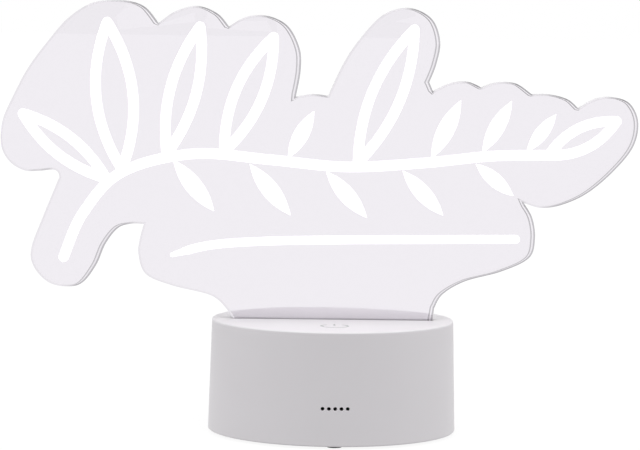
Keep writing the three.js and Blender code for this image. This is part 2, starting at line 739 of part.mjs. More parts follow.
// Remote receiver on its board, behind the five holes
piece('ir_board', block(
  [-receiverBoardHalfWidth, receiverBoardHalfWidth], [receiverBoardFront, receiverBoardRear],
  [receiverBoardBottom, receiverBoardBottom + receiverBoardHeight]), 'circuitBoard');

function receiver() {
  const body = block(
    [-receiverWidth / 2, receiverWidth / 2], [-receiverDepth, 0],
    [-receiverHeight / 2, receiverHeight / 2]);
  const lens = lying(lensRadius, [-receiverDepth - lensRise, -receiverDepth / 2], 0, 0, padSides);
  return joined(body, lens);
}

piece('ir_receiver', receiver(), 'blackResin', [0, receiverBoardFront - solderGap, holeLevel]);

// Three cells, head to tail, with their plates and springs
const nubDiameter = 5.5;
const nubHeight = 1;
const cellEdge = 0.8;
const springWire = 0.6;
const springTurns = 3;
const springWide = 3.4;
const springNarrow = 2;
const springStepsPerTurn = 8;
const springSides = 5;
const plateInset = 0.8;

function cell() {
  const radius = cellDiameter / 2;
  const shoulder = cellLength - nubHeight;
  return turned([
    [0, 0], [radius - cellEdge, 0], [radius, cellEdge], [radius, shoulder - cellEdge],
    [radius - cellEdge, shoulder], [nubDiameter / 2, shoulder], [nubDiameter / 2, cellLength],
    [0, cellLength],
  ], padSides).rotate([-90, 0, 0]);
}

function wire(points, diameter, steps, sides) {
  const ring = Array.from({ length: sides }, (_, i) => {
    const angle = (Math.PI * 2 * i) / sides;
    return new THREE.Vector2(Math.cos(angle) * (diameter / 2), Math.sin(angle) * (diameter / 2));
  });
  const path = new THREE.CatmullRomCurve3(points);
  return solid(new THREE.ExtrudeGeometry(new THREE.Shape(ring), {
    steps, extrudePath: path, bevelEnabled: false,
  }));
}

// A conical spring along +Y, wide end at the plate
function contactSpring() {
  const length = springSpace - 2 * clearance - springWire;
  const count = springTurns * springStepsPerTurn;
  const points = Array.from({ length: count + 1 }, (_, i) => {
    const share = i / count;
    const angle = Math.PI * 2 * springTurns * share;
    const radius = springWide + (springNarrow - springWide) * share;
    return new THREE.Vector3(radius * Math.cos(angle), length * share, radius * Math.sin(angle));
  });
  return wire(points, springWire, count, springSides);
}

[-1, 0, 1].forEach((column, i) => {
  const forward = column === 0 ? -1 : 1;
  const flatEnd = -forward * (plateInner - springSpace);
  const turn = forward > 0 ? [0, 0, 0] : [0, 0, Math.PI];
  piece(`battery_cell_${i + 1}`, cell(), 'cellSleeve', [column * cellPitch, flatEnd, cellLevel], turn);
  const springFoot = -forward * (plateInner - clearance - springWire / 2);
  piece(`battery_spring_${i + 1}`, contactSpring(), 'steel',
    [column * cellPitch, springFoot, cellLevel], turn);
});

function contactPlate(columns, side, hasStrip) {
  const y = [side * plateLevel - plateThickness / 2, side * plateLevel + plateThickness / 2];
  const half = cellDiameter / 2 - plateInset;
  const x = [columns[0] * cellPitch - half, columns[columns.length - 1] * cellPitch + half];
  const body = block(x, y, [doorTop + clearance + plateInset, bayUnderside - plateInset]);
  if (!hasStrip) return body;
  const middle = columns[0] * cellPitch;
  return joined(body, block(
    [middle - tabStripWidth / 2, middle + tabStripWidth / 2], y, [cellLevel, bayTop + tabStripRise]));
}

piece('battery_plate_positive', contactPlate([-1], 1, true), 'steel');
piece('battery_plate_negative', contactPlate([1], -1, true), 'steel');
piece('battery_bridge_front', contactPlate([-1, 0], -1, false), 'steel');
piece('battery_bridge_rear', contactPlate([0, 1], 1, false), 'steel');

// Touch foil under the mark
const foilDiameter = 15;
const foilThickness = 0.3;
const foilTop = topUnderside - clearance;
const foilBottom = foilTop - foilThickness;

piece('touch_foil', upright(foilDiameter / 2, [foilBottom, foilTop], 0, markY), 'copper');

// Leads between the boards, the cells and the foil
const leadDiameter = 1.2;
const leadSides = 6;
const leadSteps = 12;
const leadRise = leadDiameter / 2 + clearance;
const leadSpacing = 3;
const boardEdgeInset = 2;
const onBoard = boardTop + leadRise;
const underTray = trayBottom - leadRise;
const overBay = bayTop + leadRise;

function lead(name, colour, points) {
  const path = points.map((point) => new THREE.Vector3(...point));
  piece(name, wire(path, leadDiameter, leadSteps, leadSides), colour);
}

const ledLeadStart = ledBoardBottom - clearance;
const ledLeads = [[1, 'led_lead_positive', 'redWire'], [-1, 'led_lead_negative', 'blackWire']];
for (const [side, name, colour] of ledLeads) {
  const x = side * leadSpacing;
  lead(name, colour, [
    [x, 0, ledLeadStart], [x, 0, underTray + clearance], [x, boardFront / 2, (underTray + onBoard) / 2],
    [x, boardFront, onBoard + clearance], [x, boardFront + boardEdgeInset, onBoard],
  ]);
}
lead('touch_lead', 'whiteWire', [
  [0, markY, foilBottom - clearance], [0, markY, foilBottom - clearance - leadSpacing],
  [0, -trayHalfWidth - leadSpacing, (foilBottom + underTray) / 2],
  [0, -trayHalfWidth, underTray], [0, 0, underTray - clearance],
  [0, boardFront, onBoard + clearance], [0, boardFront + boardEdgeInset, onBoard],
]);
const sideX = boardHalfWidth + leadSpacing;
lead('battery_lead_positive', 'redWire', [
  [-cellPitch, plateLevel, bayTop + tabStripRise + leadRise],
  [-cellPitch, plateLevel, onBoard + leadSpacing],
  [-boardHalfWidth + boardEdgeInset, plateLevel, onBoard + leadSpacing],
  [-boardHalfWidth + 2 * boardEdgeInset, plateLevel, onBoard],
]);
lead('battery_lead_negative', 'blackWire', [
  [cellPitch, -plateLevel, bayTop + tabStripRise + leadRise],
  [cellPitch, -plateLevel + leadSpacing, bayTop + tabStripRise + 2 * leadRise],
  [sideX, -boardFront, overBay], [sideX, boardScrewY, onBoard],
  [sideX - leadSpacing / 2, boardScrewY + leadSpacing * 2, onBoard + leadSpacing / 2],
  [boardHalfWidth - boardEdgeInset, boardScrewY + leadSpacing * 3, onBoard],
]);
lead('ir_lead', 'whiteWire', [
  [-leadSpacing * 2, receiverBoardRear + leadRise, receiverBoardBottom + receiverBoardHeight],
  [-leadSpacing * 2, receiverBoardRear + leadSpacing, overBay + clearance],
  [-leadSpacing * 2, -boardFront, overBay], [-leadSpacing * 2, 0, overBay],
  [-leadSpacing * 2, boardFront - leadSpacing, onBoard],
  [-leadSpacing * 2, boardFront, onBoard + clearance],
  [-leadSpacing * 2, boardFront + boardEdgeInset, onBoard],
]);

// The origin goes to the middle of the footprint
const extent = new THREE.Box3().setFromObject(lamp);
lamp.position.x = -(extent.min.x + extent.max.x) / 2;
lamp.position.y = -(extent.min.y + extent.max.y) / 2;

const nightLight = new THREE.Group();
nightLight.add(lamp);

export default nightLight;
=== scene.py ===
import math

import bmesh
import bpy
import numpy as np
from mathutils import Matrix, Vector


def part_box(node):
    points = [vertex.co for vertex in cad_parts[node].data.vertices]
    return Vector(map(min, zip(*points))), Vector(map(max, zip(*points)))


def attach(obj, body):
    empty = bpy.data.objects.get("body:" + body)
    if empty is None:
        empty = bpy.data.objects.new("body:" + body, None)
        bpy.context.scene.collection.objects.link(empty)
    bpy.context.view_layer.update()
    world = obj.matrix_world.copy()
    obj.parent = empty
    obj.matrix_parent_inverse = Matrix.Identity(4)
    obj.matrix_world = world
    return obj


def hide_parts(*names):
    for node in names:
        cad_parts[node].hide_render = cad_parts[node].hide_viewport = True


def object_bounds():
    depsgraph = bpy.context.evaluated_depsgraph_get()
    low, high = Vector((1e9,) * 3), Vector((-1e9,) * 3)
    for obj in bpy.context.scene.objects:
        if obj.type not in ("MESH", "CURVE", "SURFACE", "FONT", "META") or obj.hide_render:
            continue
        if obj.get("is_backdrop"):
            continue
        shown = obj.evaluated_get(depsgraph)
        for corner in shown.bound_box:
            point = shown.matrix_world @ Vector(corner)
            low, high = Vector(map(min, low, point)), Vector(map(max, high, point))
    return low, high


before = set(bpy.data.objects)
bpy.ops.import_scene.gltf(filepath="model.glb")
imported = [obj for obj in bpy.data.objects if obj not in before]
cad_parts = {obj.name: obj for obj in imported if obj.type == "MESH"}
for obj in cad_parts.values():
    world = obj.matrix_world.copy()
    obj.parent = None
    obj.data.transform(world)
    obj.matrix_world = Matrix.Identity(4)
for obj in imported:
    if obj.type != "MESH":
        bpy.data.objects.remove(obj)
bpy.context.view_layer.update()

# Camera
# A long lens stands 0.95 m off, all but square to the lamp and a little above it, so that the top
# of the base is a slim ellipse. It leans by less than a degree, as the photograph does.
MM = 0.001
SENSOR_WIDTH = 36.0
PICTURE_WIDTH = 640
FOCAL_PIXELS = 2703.9
VIEW_DISTANCE = 950 * MM
VIEW_TURN = math.radians(1.4)
VIEW_DROP = math.radians(4.372)
VIEW_ROLL = math.radians(0.804)
AIM_LEFT = 4.94 * MM
AIM_HEIGHT = 72.722 * MM
VIEW_LIMIT = 60

housing_low, housing_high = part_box("base_housing")
BASE_X = (housing_low.x + housing_high.x) / 2

level_ahead = Vector((math.sin(VIEW_TURN), math.cos(VIEW_TURN), 0))
level_right = Vector((math.cos(VIEW_TURN), -math.sin(VIEW_TURN), 0))
ahead = level_ahead * math.cos(VIEW_DROP) - Vector((0, 0, math.sin(VIEW_DROP)))
level_up = level_right.cross(ahead)
right = level_right * math.cos(VIEW_ROLL) + level_up * math.sin(VIEW_ROLL)
up = level_up * math.cos(VIEW_ROLL) - level_right * math.sin(VIEW_ROLL)
lens = bpy.data.cameras.new("camera")
lens.sensor_width = SENSOR_WIDTH
lens.lens = FOCAL_PIXELS * SENSOR_WIDTH / PICTURE_WIDTH
lens.clip_end = VIEW_LIMIT
camera = bpy.data.objects.new("camera", lens)
bpy.context.scene.collection.objects.link(camera)
turn = Matrix((right, up, -ahead)).transposed().to_4x4()
aim = Vector((BASE_X - AIM_LEFT, 0, AIM_HEIGHT))
camera.matrix_world = Matrix.Translation(aim - ahead * VIEW_DISTANCE) @ turn
bpy.context.scene.camera = camera


# Base housing
# One moulded cup of white ABS, mouth down: a slightly leaning round wall, a flat top with a
# rounded edge, the panel's slot, the engraved touch mark, five receiver holes and the well of
# the charging socket. Its bosses and rails are moulded inside it.
TOP = housing_high.z
FOOT = housing_low.z
BOTTOM_RADIUS = (housing_high.x - housing_low.x) / 2
TOP_RADIUS = 42.45 * MM
WALL = 2.2 * MM
TOP_WALL = 2.5 * MM
EDGE_ROUND = 0.6 * MM
FOOT_ROUND = 0.4 * MM
HOLD = 0.4 * MM
CLEARANCE = 0.3 * MM
OVERRUN = 1 * MM
BASE_SIDES = 288
WALL_LEVELS = 20
UNDERSIDE = TOP - TOP_WALL


def wall_radius(level):
    """The outer wall's radius at a level: it runs straight from the foot to the top."""
    share = (level - FOOT) / (TOP - FOOT)
    return BOTTOM_RADIUS + share * (TOP_RADIUS - BOTTOM_RADIUS)


def mesh_object(name, points, faces, material, sharp=35):
    """A closed mesh as an object, its faces turned outwards and its edges sharp past an angle."""
    data = bpy.data.meshes.new(name)
    data.from_pydata(points.tolist(), [], faces)
    shape = bmesh.new()
    shape.from_mesh(data)
    bmesh.ops.recalc_face_normals(shape, faces=shape.faces)
    shape.to_mesh(data)
    shape.free()
    data.materials.append(material)
    data.shade_smooth()
    data.set_sharp_from_angle(angle=math.radians(sharp))
    made = bpy.data.objects.new(name, data)
    bpy.context.scene.collection.objects.link(made)
    return made


def grid_faces(rings, sides):
    """The four-sided faces between neighbouring rings of points, each ring closed on itself."""
    ring, side = np.meshgrid(np.arange(rings - 1), np.arange(sides), indexing="ij")
    here = ring * sides + side
    beside = ring * sides + (side + 1) % sides
    return np.stack([here, beside, beside + sides, here + sides], -1).reshape(-1, 4).tolist()


def revolved(name, profile, material, centre=(0, 0), sides=32, along="z", sharp=35):
    """A profile of (radius, level) pairs turned about an axis: at angle a a pair gives the point
    (r cos a, r sin a, level), with the level along Z or along Y. The first and the last pair lie
    on the axis and close the ends."""
    profile = np.asarray(profile, float)
    angle = np.arange(sides) * 2 * np.pi / sides
    rings = profile[1:-1]
    first = centre[0] + rings[:, :1] * np.cos(angle)
    second = centre[1] + rings[:, :1] * np.sin(angle)
    level = np.broadcast_to(rings[:, 1:], first.shape)
    poles = [[*centre, profile[0, 1]], [*centre, profile[-1, 1]]]
    points = np.vstack([np.stack([first, second, level], -1).reshape(-1, 3), poles])
    if along == "y":
        points = points[:, [0, 2, 1]]
    side = np.arange(sides)
    beside = (side + 1) % sides
    last = (len(rings) - 1) * sides
    pole = len(rings) * sides
    fans = [np.stack([np.full(sides, pole), beside, side], -1),
            np.stack([np.full(sides, pole + 1), last + side, last + beside], -1)]
    faces = grid_faces(len(rings), sides) + np.vstack(fans).tolist()
    return mesh_object(name, points, faces, material, sharp)


def arc(radius, level, size, start, end, steps=8):
    """Part of a profile: the points at a distance from a centre, from one angle to another."""
    angle = np.radians(np.linspace(start, end, steps + 1))
    return np.stack([radius + size * np.cos(angle), level + size * np.sin(angle)], 1)


def inset(outline, amount):
    """A closed outline moved inwards by an amount, each corner along its mitre: the mean of the two
    edges' inward normals, longer as the corner turns more, up to twice the amount."""
    edge = np.roll(outline, -1, 0) - outline
    normal = np.stack([-edge[:, 1], edge[:, 0]], 1)
    normal /= np.linalg.norm(normal, axis=1)[:, None]
    before = np.roll(normal, 1, 0)
    mitre = normal + before
    mitre /= np.linalg.norm(mitre, axis=1)[:, None]
    reach = 1 / np.maximum((mitre * normal).sum(1), 0.5)
    return outline + mitre * (amount * reach)[:, None]


def slab(name, outline, sections, material, along="z", sharp=35):
    """A flat outline carried along one axis: each section is (inset, level), so the ring at that
    level is the outline moved inwards by the inset. The two end rings are closed flat. On an
    outline that runs anticlockwise both may differ from point to point."""
    x, y = outline.T
    area = (x * np.roll(y, -1) - y * np.roll(x, -1)).sum()
    outline = outline if area > 0 else outline[::-1]
    rings = np.stack([inset(outline, amount) for amount, _ in sections])
    level = np.stack([np.broadcast_to(z, len(outline)) for _, z in sections])
    order = (rings[..., 0], rings[..., 1], level) if along == "z" else (
        rings[..., 0], level, rings[..., 1])
    points = np.stack(order, -1).reshape(-1, 3)
    count = len(outline)
    last = np.arange(count) + (len(sections) - 1) * count
    faces = grid_faces(len(sections), count) + [list(range(count))[::-1], last.tolist()]
    return mesh_object(name, points, faces, material, sharp)


def round_box(width, height, corner, centre=(0, 0), steps=6):
    """The outline of a rectangle with round corners: a quarter circle about the centre of each
    corner."""
    turn_by = np.linspace(0, np.pi / 2, steps + 1)
    quarter = np.stack([np.cos(turn_by), np.sin(turn_by)], 1) * corner
    half = np.array([width / 2 - corner, height / 2 - corner])
    parts = []
    for k, signs in enumerate([(1, 1), (-1, 1), (-1, -1), (1, -1)]):
        cos, sin = round(math.cos(k * math.pi / 2)), round(math.sin(k * math.pi / 2))
        parts.append(quarter @ np.array([[cos, sin], [-sin, cos]]) + half * signs)
    return np.vstack(parts) + centre


def circle(radius, centre=(0, 0), sides=32):
    """The outline of a circle."""
    angle = np.arange(sides) * 2 * np.pi / sides
    return np.stack([np.cos(angle), np.sin(angle)], 1) * radius + centre


def carve(body, tools, way="DIFFERENCE", sharp=35):
    """Cuts the tools out of a body, or joins them to it, and uses them up. The new faces keep the
    tools' own materials."""
    for tool in tools:
        step = body.modifiers.new(way.lower(), "BOOLEAN")
        step.operation = way
        step.solver = "EXACT"
        step.use_self = True
        step.material_mode = "TRANSFER"
        step.object = tool
    shown = body.evaluated_get(bpy.context.evaluated_depsgraph_get())
    body.data = bpy.data.meshes.new_from_object(shown)
    body.modifiers.clear()
    body.data.shade_smooth()
    body.data.set_sharp_from_angle(angle=math.radians(sharp))
    for tool in tools:
        bpy.data.objects.remove(tool)
    return body


def merged(name, objects):
    """Several objects' meshes as one, so that they cut in one go."""
    with bpy.context.temp_override(active_object=objects[0], selected_editable_objects=objects):
        bpy.ops.object.join()
    objects[0].name = name
    return objects[0]


def builder(tree):
    """Two short calls for a node tree: one adds a node with its inputs, the other links."""

    def add(kind, inputs=(), **settings):
        node = tree.nodes.new("ShaderNode" + kind)
        for key, value in settings.items():
            setattr(node, key, value)
        for key, value in dict(inputs).items():
            if isinstance(value, bpy.types.NodeSocket):
                tree.links.new(value, node.inputs[key])
            else:
                node.inputs[key].default_value = value
        return node

    def link(source, target):
        tree.links.new(source, target)

    return add, link


def new_material(name):
    """A new material with its shader and its builder."""
    made = bpy.data.materials.new(name)
    made.use_nodes = True
    return made, made.node_tree.nodes["Principled BSDF"], *builder(made.node_tree)


def toned(colour, factor=1.0):
    """A colour, lighter or darker by a factor, as a socket takes it."""
    return (*(min(1.0, channel * factor) for channel in colour), 1.0)


def moulded(name, colour, roughness, grain=0.35 * MM, depth=0.012 * MM, patch=0.97):
    """Moulded plastic or rubber: a fine spark-eroded grain in the bump and the roughness, and
    broad, faint patches in the colour where the melt met the tool's wall."""
    made, shader, add, link = new_material(name)
    place = add("TexCoord").outputs["Object"]
    fine = add("TexNoise", {"Vector": place, "Scale": 1 / grain, "Detail": 3, "Roughness": 0.6})
    broad = add("TexNoise", {"Vector": place, "Scale": 38, "Detail": 2})
    tint = add("Mix", {"Factor": broad.outputs["Fac"]}, data_type="RGBA")
    tint.inputs["A"].default_value = toned(colour)
    tint.inputs["B"].default_value = toned(colour, patch)
    link(tint.outputs["Result"], shader.inputs["Base Color"])
    gloss = add("MapRange", {"Value": fine.outputs["Fac"], "To Min": roughness - 0.05,
                             "To Max": roughness + 0.05})
    link(gloss.outputs["Result"], shader.inputs["Roughness"])
    bump = add("Bump", {"Height": fine.outputs["Fac"], "Strength": 0.6, "Distance": depth})
    link(bump.outputs["Normal"], shader.inputs["Normal"])
    return made


def seat(piece, body, finish, *nodes):
    """Ties a piece to its body, and hides the solids that it stands for. The finish is not used."""
    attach(piece, body)
    if nodes:
        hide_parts(*nodes)


white_abs = moulded("white_abs", (0.875, 0.848, 0.878), 0.4)
mark_grey = moulded("mark_grey", (0.62, 0.615, 0.63), 0.5)

inner = wall_radius(FOOT) - WALL
inner_top = wall_radius(UNDERSIDE) - WALL
levels = np.linspace(FOOT + 2 * FOOT_ROUND, TOP - 1.5 * EDGE_ROUND, WALL_LEVELS)
housing = revolved("housing_moulding", [
    (0, UNDERSIDE), (inner_top - HOLD, UNDERSIDE), (inner_top, UNDERSIDE), (inner, FOOT),
    *arc(BOTTOM_RADIUS - FOOT_ROUND, FOOT + FOOT_ROUND, FOOT_ROUND, -90, 0),
    *[(wall_radius(level), level) for level in levels],
    *arc(TOP_RADIUS - EDGE_ROUND, TOP - EDGE_ROUND, EDGE_ROUND, 0, 90),
    (TOP_RADIUS - EDGE_ROUND - HOLD, TOP), (0, TOP),
], white_abs, (BASE_X, 0), BASE_SIDES)

# The slot is 0.3 mm wider than the panel all round, with its rim broken by a small slope.
panel_low, panel_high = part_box("acrylic_panel")
PANEL_THICKNESS = panel_high.y - panel_low.y
TAB_WIDTH = 70 * MM
RIM = 0.3 * MM
SLOT_CORNER = 0.3 * MM
slot_outline = round_box(TAB_WIDTH + 2 * CLEARANCE, PANEL_THICKNESS + 2 * CLEARANCE,
                         SLOT_CORNER, (BASE_X, 0))
slot_cut = slab("slot_cut", slot_outline, [
    (0, UNDERSIDE - OVERRUN), (0, TOP - RIM), (-RIM, TOP), (-RIM, TOP + OVERRUN)], white_abs)

# Five drilled holes in a row low on the front let the remote's signal through.
HOLE_RADIUS = 0.65 * MM
HOLE_PITCH = 2.13 * MM
HOLE_LEVEL = 13.8 * MM
HOLE_COUNT = 5
HOLE_RIM = 0.12 * MM
hole_cuts = []
for k in range(HOLE_COUNT):
    aside = (k - (HOLE_COUNT - 1) / 2) * HOLE_PITCH
    skin = -math.sqrt(wall_radius(HOLE_LEVEL) ** 2 - aside ** 2)
    hole_cuts.append(slab(
        "hole_cut", circle(HOLE_RADIUS, (BASE_X + aside, HOLE_LEVEL)), [
            (-HOLE_RIM, skin - OVERRUN), (-HOLE_RIM, skin), (0, skin + HOLE_RIM),
            (0, skin + WALL + OVERRUN)], white_abs, "y"))


def ribbon(line, half):
    """The outline of a stroke: each point of its middle line moved sideways by half the width on
    both sides, with a half circle round each end."""
    half = np.broadcast_to(half, len(line))
    along = np.gradient(line, axis=0)
    along /= np.linalg.norm(along, axis=1)[:, None]
    side = np.stack([-along[:, 1], along[:, 0]], 1) * half[:, None]
    angle = np.linspace(0, np.pi, 13)[1:-1, None]
    tip = np.cos(angle) * side[-1] + np.sin(angle) * half[-1] * along[-1] + line[-1]
    tail = line[0] - np.cos(angle) * side[0] - np.sin(angle) * half[0] * along[0]
    return np.vstack([line + side, tip, (line - side)[::-1], tail])


# The touch mark is a shallow ring, open at the rear, with a short bar in its gap.
MARK_RADIUS = 4.6 * MM
MARK_LINE = 0.8 * MM
MARK_DEPTH = 0.25 * MM
MARK_Y = -23 * MM
MARK_BAR = 3.2 * MM
MARK_GAP = math.radians(38)
MARK_RING_POINTS = 97
MARK_BAR_POINTS = 9
mark_turn = np.linspace(np.pi / 2 + MARK_GAP, np.pi * 2.5 - MARK_GAP, MARK_RING_POINTS)
mark_centre = np.array([BASE_X, MARK_Y])
ring_line = mark_centre + MARK_RADIUS * np.stack([np.cos(mark_turn), np.sin(mark_turn)], 1)
bar_reach = np.linspace(MARK_RADIUS - MARK_BAR, MARK_RADIUS, MARK_BAR_POINTS)
bar_line = mark_centre + np.stack([np.zeros(MARK_BAR_POINTS), bar_reach], 1)
mark_cuts = [slab("mark_cut", ribbon(line, MARK_LINE / 2), [
    (MARK_LINE / 4, TOP - MARK_DEPTH), (0, TOP - MARK_DEPTH / 2), (0, TOP + OVERRUN)], mark_grey)
    for line in (ring_line, bar_line)]

# The well leads the charging plug to the socket behind the wall.
WELL_HALF = np.array([5.5, 3.6]) * MM
WELL_WALL = 1.2 * MM
WELL_ROUND = 1.2 * MM
socket_low, socket_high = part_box("usb_socket")
SOCKET_LEVEL = (socket_low.z + socket_high.z) / 2
board_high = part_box("control_board")[1]
WELL_INNER = board_high.y + CLEARANCE
rear = wall_radius(SOCKET_LEVEL)
well_centre = (BASE_X, SOCKET_LEVEL)
well_body = slab("well_body", round_box(*(2 * (WELL_HALF + WELL_WALL)), WELL_ROUND, well_centre),
                 [(0, WELL_INNER), (0, rear - WALL / 2)], white_abs, "y")
well_cut = slab("well_cut", round_box(*(2 * WELL_HALF), WELL_ROUND, well_centre), [
    (0, WELL_INNER - OVERRUN), (0, rear - RIM), (-RIM, rear), (-RIM, rear + OVERRUN)],
    white_abs, "y")

# Bosses for the screws, and two grooved rails that hold the receiver's board
BOSS_BORE = 1.4 * MM
BOSS_RADIUS = 2.9 * MM
COVER_TOP = 4.2 * MM
COVER_SCREWS = 4
COVER_BORE = 9 * MM
SMALL_SCREWS = 2
TRAY_SCREW_HOLD = 1.4 * MM
TRAY_BORE = 3 * MM
BOARD_BORE = 6 * MM
boss_bodies = []
boss_bores = []


def add_boss(screw, bottom, bore):
    """A tube from a level up into the top, over a screw, with its bore from below."""
    low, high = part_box(screw)
    centre = ((low.x + high.x) / 2, (low.y + high.y) / 2)
    boss_bodies.append(slab("boss", circle(BOSS_RADIUS, centre), [
        (0, bottom), (0, UNDERSIDE + TOP_WALL / 2)], white_abs))
    boss_bores.append(slab("bore", circle(BOSS_BORE, centre), [
        (0, bottom - OVERRUN), (0, bottom + bore)], white_abs))


for k in range(COVER_SCREWS):
    add_boss(f"cover_screw_{k + 1}", COVER_TOP + CLEARANCE, COVER_BORE)
for k in range(SMALL_SCREWS):
    tray_screw_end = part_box(f"tray_screw_{k + 1}")[1].z
    add_boss(f"tray_screw_{k + 1}", tray_screw_end - TRAY_SCREW_HOLD, TRAY_BORE)
    add_boss(f"board_screw_{k + 1}", board_high.z + CLEARANCE, BOARD_BORE)
rail_board_low, rail_board_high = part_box("ir_board")
RAIL_GRIP = 0.7 * MM
RAIL_FLOOR = 1.4 * MM
RAIL_CORNER = 0.2 * MM
GROOVE_CORNER = 0.05 * MM
for side in (-1, 1):
    edge_x = BASE_X + side * (rail_board_high.x - rail_board_low.x) / 2
    inside = edge_x - side * RAIL_GRIP
    outside = edge_x + side * (CLEARANCE + RAIL_FLOOR)
    front = -math.sqrt((wall_radius(HOLE_LEVEL) - WALL) ** 2 - (outside - BASE_X) ** 2) - WALL / 4
    behind = rail_board_high.y + CLEARANCE + RAIL_FLOOR
    boss_bodies.append(slab(
        "rail", round_box(abs(outside - inside), behind - front, RAIL_CORNER,
                          ((inside + outside) / 2, (front + behind) / 2)),
        [(0, rail_board_low.z), (0, rail_board_high.z)], white_abs))
    boss_bores.append(slab(
        "groove", round_box(RAIL_GRIP + CLEARANCE + OVERRUN, 2 * CLEARANCE + rail_board_high.y
                            - rail_board_low.y, GROOVE_CORNER,
                            (edge_x + side * (CLEARANCE - RAIL_GRIP - OVERRUN) / 2,
                             (rail_board_low.y + rail_board_high.y) / 2)),
        [(0, rail_board_low.z - OVERRUN), (0, rail_board_high.z + OVERRUN)], white_abs))
carve(housing, [merged("inside", [well_body, *boss_bodies])], "UNION")
carve(housing, [merged("openings", [slot_cut, well_cut, *hole_cuts, *boss_bores, *mark_cuts])])
seat(housing, "base", "white_plastic", "base_housing")


# Light tray
# A white moulding screwed up under the slot. It guides the panel's tab, and the light strip
# clips in below it. Two self-tapping screws hold it.
TRAY_EDGE = 0.15 * MM
SCREW_HEAD = 2.1 * MM
SCREW_CROWN = 1.5 * MM
SCREW_CROWN_START = -70
SCREW_HEAD_HEIGHT = 1.4 * MM
SCREW_CORE = 0.95 * MM
SCREW_TIP = 0.8 * MM
SCREW_END = 0.15 * MM
SCREW_SIDES = 32
THREAD_PITCH = 0.8 * MM
THREAD_DEPTH = 0.28 * MM
THREAD_SHARE = 0.35
THREAD_STEP = 0.1 * MM
CROSS_LENGTH = 2.8 * MM
CROSS_WIDTH = 0.7 * MM
CROSS_DEPTH = 0.6 * MM


def rounded_copy(node, name, material, edge, angle=40):
    """A solid's mesh as one merged skin of flat faces, with its sharp edges rounded by a bevel."""
    data = bpy.data.objects[node].data.copy()
    data.name = name
    shape = bmesh.new()
    shape.from_mesh(data)
    bmesh.ops.remove_doubles(shape, verts=shape.verts, dist=0.001 * MM)
    bmesh.ops.dissolve_limit(shape, angle_limit=math.radians(1), verts=shape.verts,
                             edges=shape.edges)
    shape.to_mesh(data)
    shape.free()
    data.materials.clear()
    data.materials.append(material)
    data.shade_smooth()
    made = bpy.data.objects.new(name, data)
    bpy.context.scene.collection.objects.link(made)
    rounding = made.modifiers.new("rounding", "BEVEL")
    rounding.width = edge
    rounding.segments = 2
    rounding.limit_method = "ANGLE"
    rounding.angle_limit = math.radians(angle)
    rounding.harden_normals = True
    return made


def metal(name, colour, roughness, stretch=(1, 1, 1), scale=2500, depth=0.004 * MM):
    """Bare or plated metal: fine lines where it was rolled or turned, longer along the axis that
    is stretched, and cloudy patches in the gloss where it was handled."""
    made, shader, add, link = new_material(name)
    place = add("TexCoord").outputs["Object"]
    drawn = add("Mapping", {"Vector": place, "Scale": stretch})
    lines = add("TexNoise", {"Vector": drawn.outputs["Vector"], "Scale": scale, "Detail": 2})
    cloud = add("TexNoise", {"Vector": place, "Scale": 300, "Detail": 4})
    tint = add("Mix", {"Factor": cloud.outputs["Fac"]}, data_type="RGBA")
    tint.inputs["A"].default_value = toned(colour, 1.08)
    tint.inputs["B"].default_value = toned(colour, 0.86)
    link(tint.outputs["Result"], shader.inputs["Base Color"])
    gloss = add("MapRange", {"Value": cloud.outputs["Fac"], "From Min": 0.3, "From Max": 0.7,
                             "To Min": roughness - 0.06, "To Max": roughness + 0.1})
    link(gloss.outputs["Result"], shader.inputs["Roughness"])
    bump = add("Bump", {"Height": lines.outputs["Fac"], "Strength": 0.7, "Distance": depth})
    link(bump.outputs["Normal"], shader.inputs["Normal"])
    shader.inputs["Metallic"].default_value = 1
    return made


screw_steel = metal("screw_steel_zinc", (0.5, 0.5, 0.52), 0.3, (1, 1, 8))


def make_screw(node):
    """A pan-head screw, head down, with a cross in its head. Round the core runs a thread: at
    angle a and height z the radius grows with how near z / pitch - a / turn is to a whole."""
    low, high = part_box(node)
    x, y = (low.x + high.x) / 2, (low.y + high.y) / 2
    neck = low.z + SCREW_HEAD_HEIGHT
    shank_end = high.z - SCREW_TIP
    shank = np.linspace(neck, shank_end, round((shank_end - neck) / THREAD_STEP))
    made = revolved(f"{node}_turned", [
        (0, low.z), (SCREW_CROWN, low.z),
        *arc(SCREW_CROWN, low.z + SCREW_HEAD - SCREW_CROWN, SCREW_HEAD - SCREW_CROWN,
             SCREW_CROWN_START, 0),
        (SCREW_HEAD, neck), *[(SCREW_CORE, level) for level in shank],
        (SCREW_END, high.z), (0, high.z)], screw_steel, (x, y), SCREW_SIDES)
    points = np.empty(len(made.data.vertices) * 3)
    made.data.vertices.foreach_get("co", points)
    points = points.reshape(-1, 3)
    out = points[:, :2] - (x, y)
    around = np.arctan2(out[:, 1], out[:, 0]) / (2 * np.pi)
    phase = (points[:, 2] / THREAD_PITCH - around) % 1
    crest = np.maximum(0, 1 - np.abs(phase - 0.5) / THREAD_SHARE)
    on_shank = (points[:, 2] > neck) & (points[:, 2] < shank_end)
    points[:, :2] += out / SCREW_CORE * (THREAD_DEPTH * crest * on_shank)[:, None]
    made.data.vertices.foreach_set("co", points.ravel())
    arms = [slab("arm", round_box(*size, CROSS_WIDTH / 4, (x, y)), [
        (0, low.z - OVERRUN), (0, low.z), (CROSS_WIDTH / 6, low.z + CROSS_DEPTH)], screw_steel)
        for size in ((CROSS_LENGTH, CROSS_WIDTH), (CROSS_WIDTH, CROSS_LENGTH))]
    carve(made, [merged("cross", arms)])
    seat(made, "base", "screw_steel", node)


tray = rounded_copy("led_tray", "tray_moulding", white_abs, TRAY_EDGE)
seat(tray, "base", "white_plastic", "led_tray")
for k in range(SMALL_SCREWS):
    make_screw(f"tray_screw_{k + 1}")


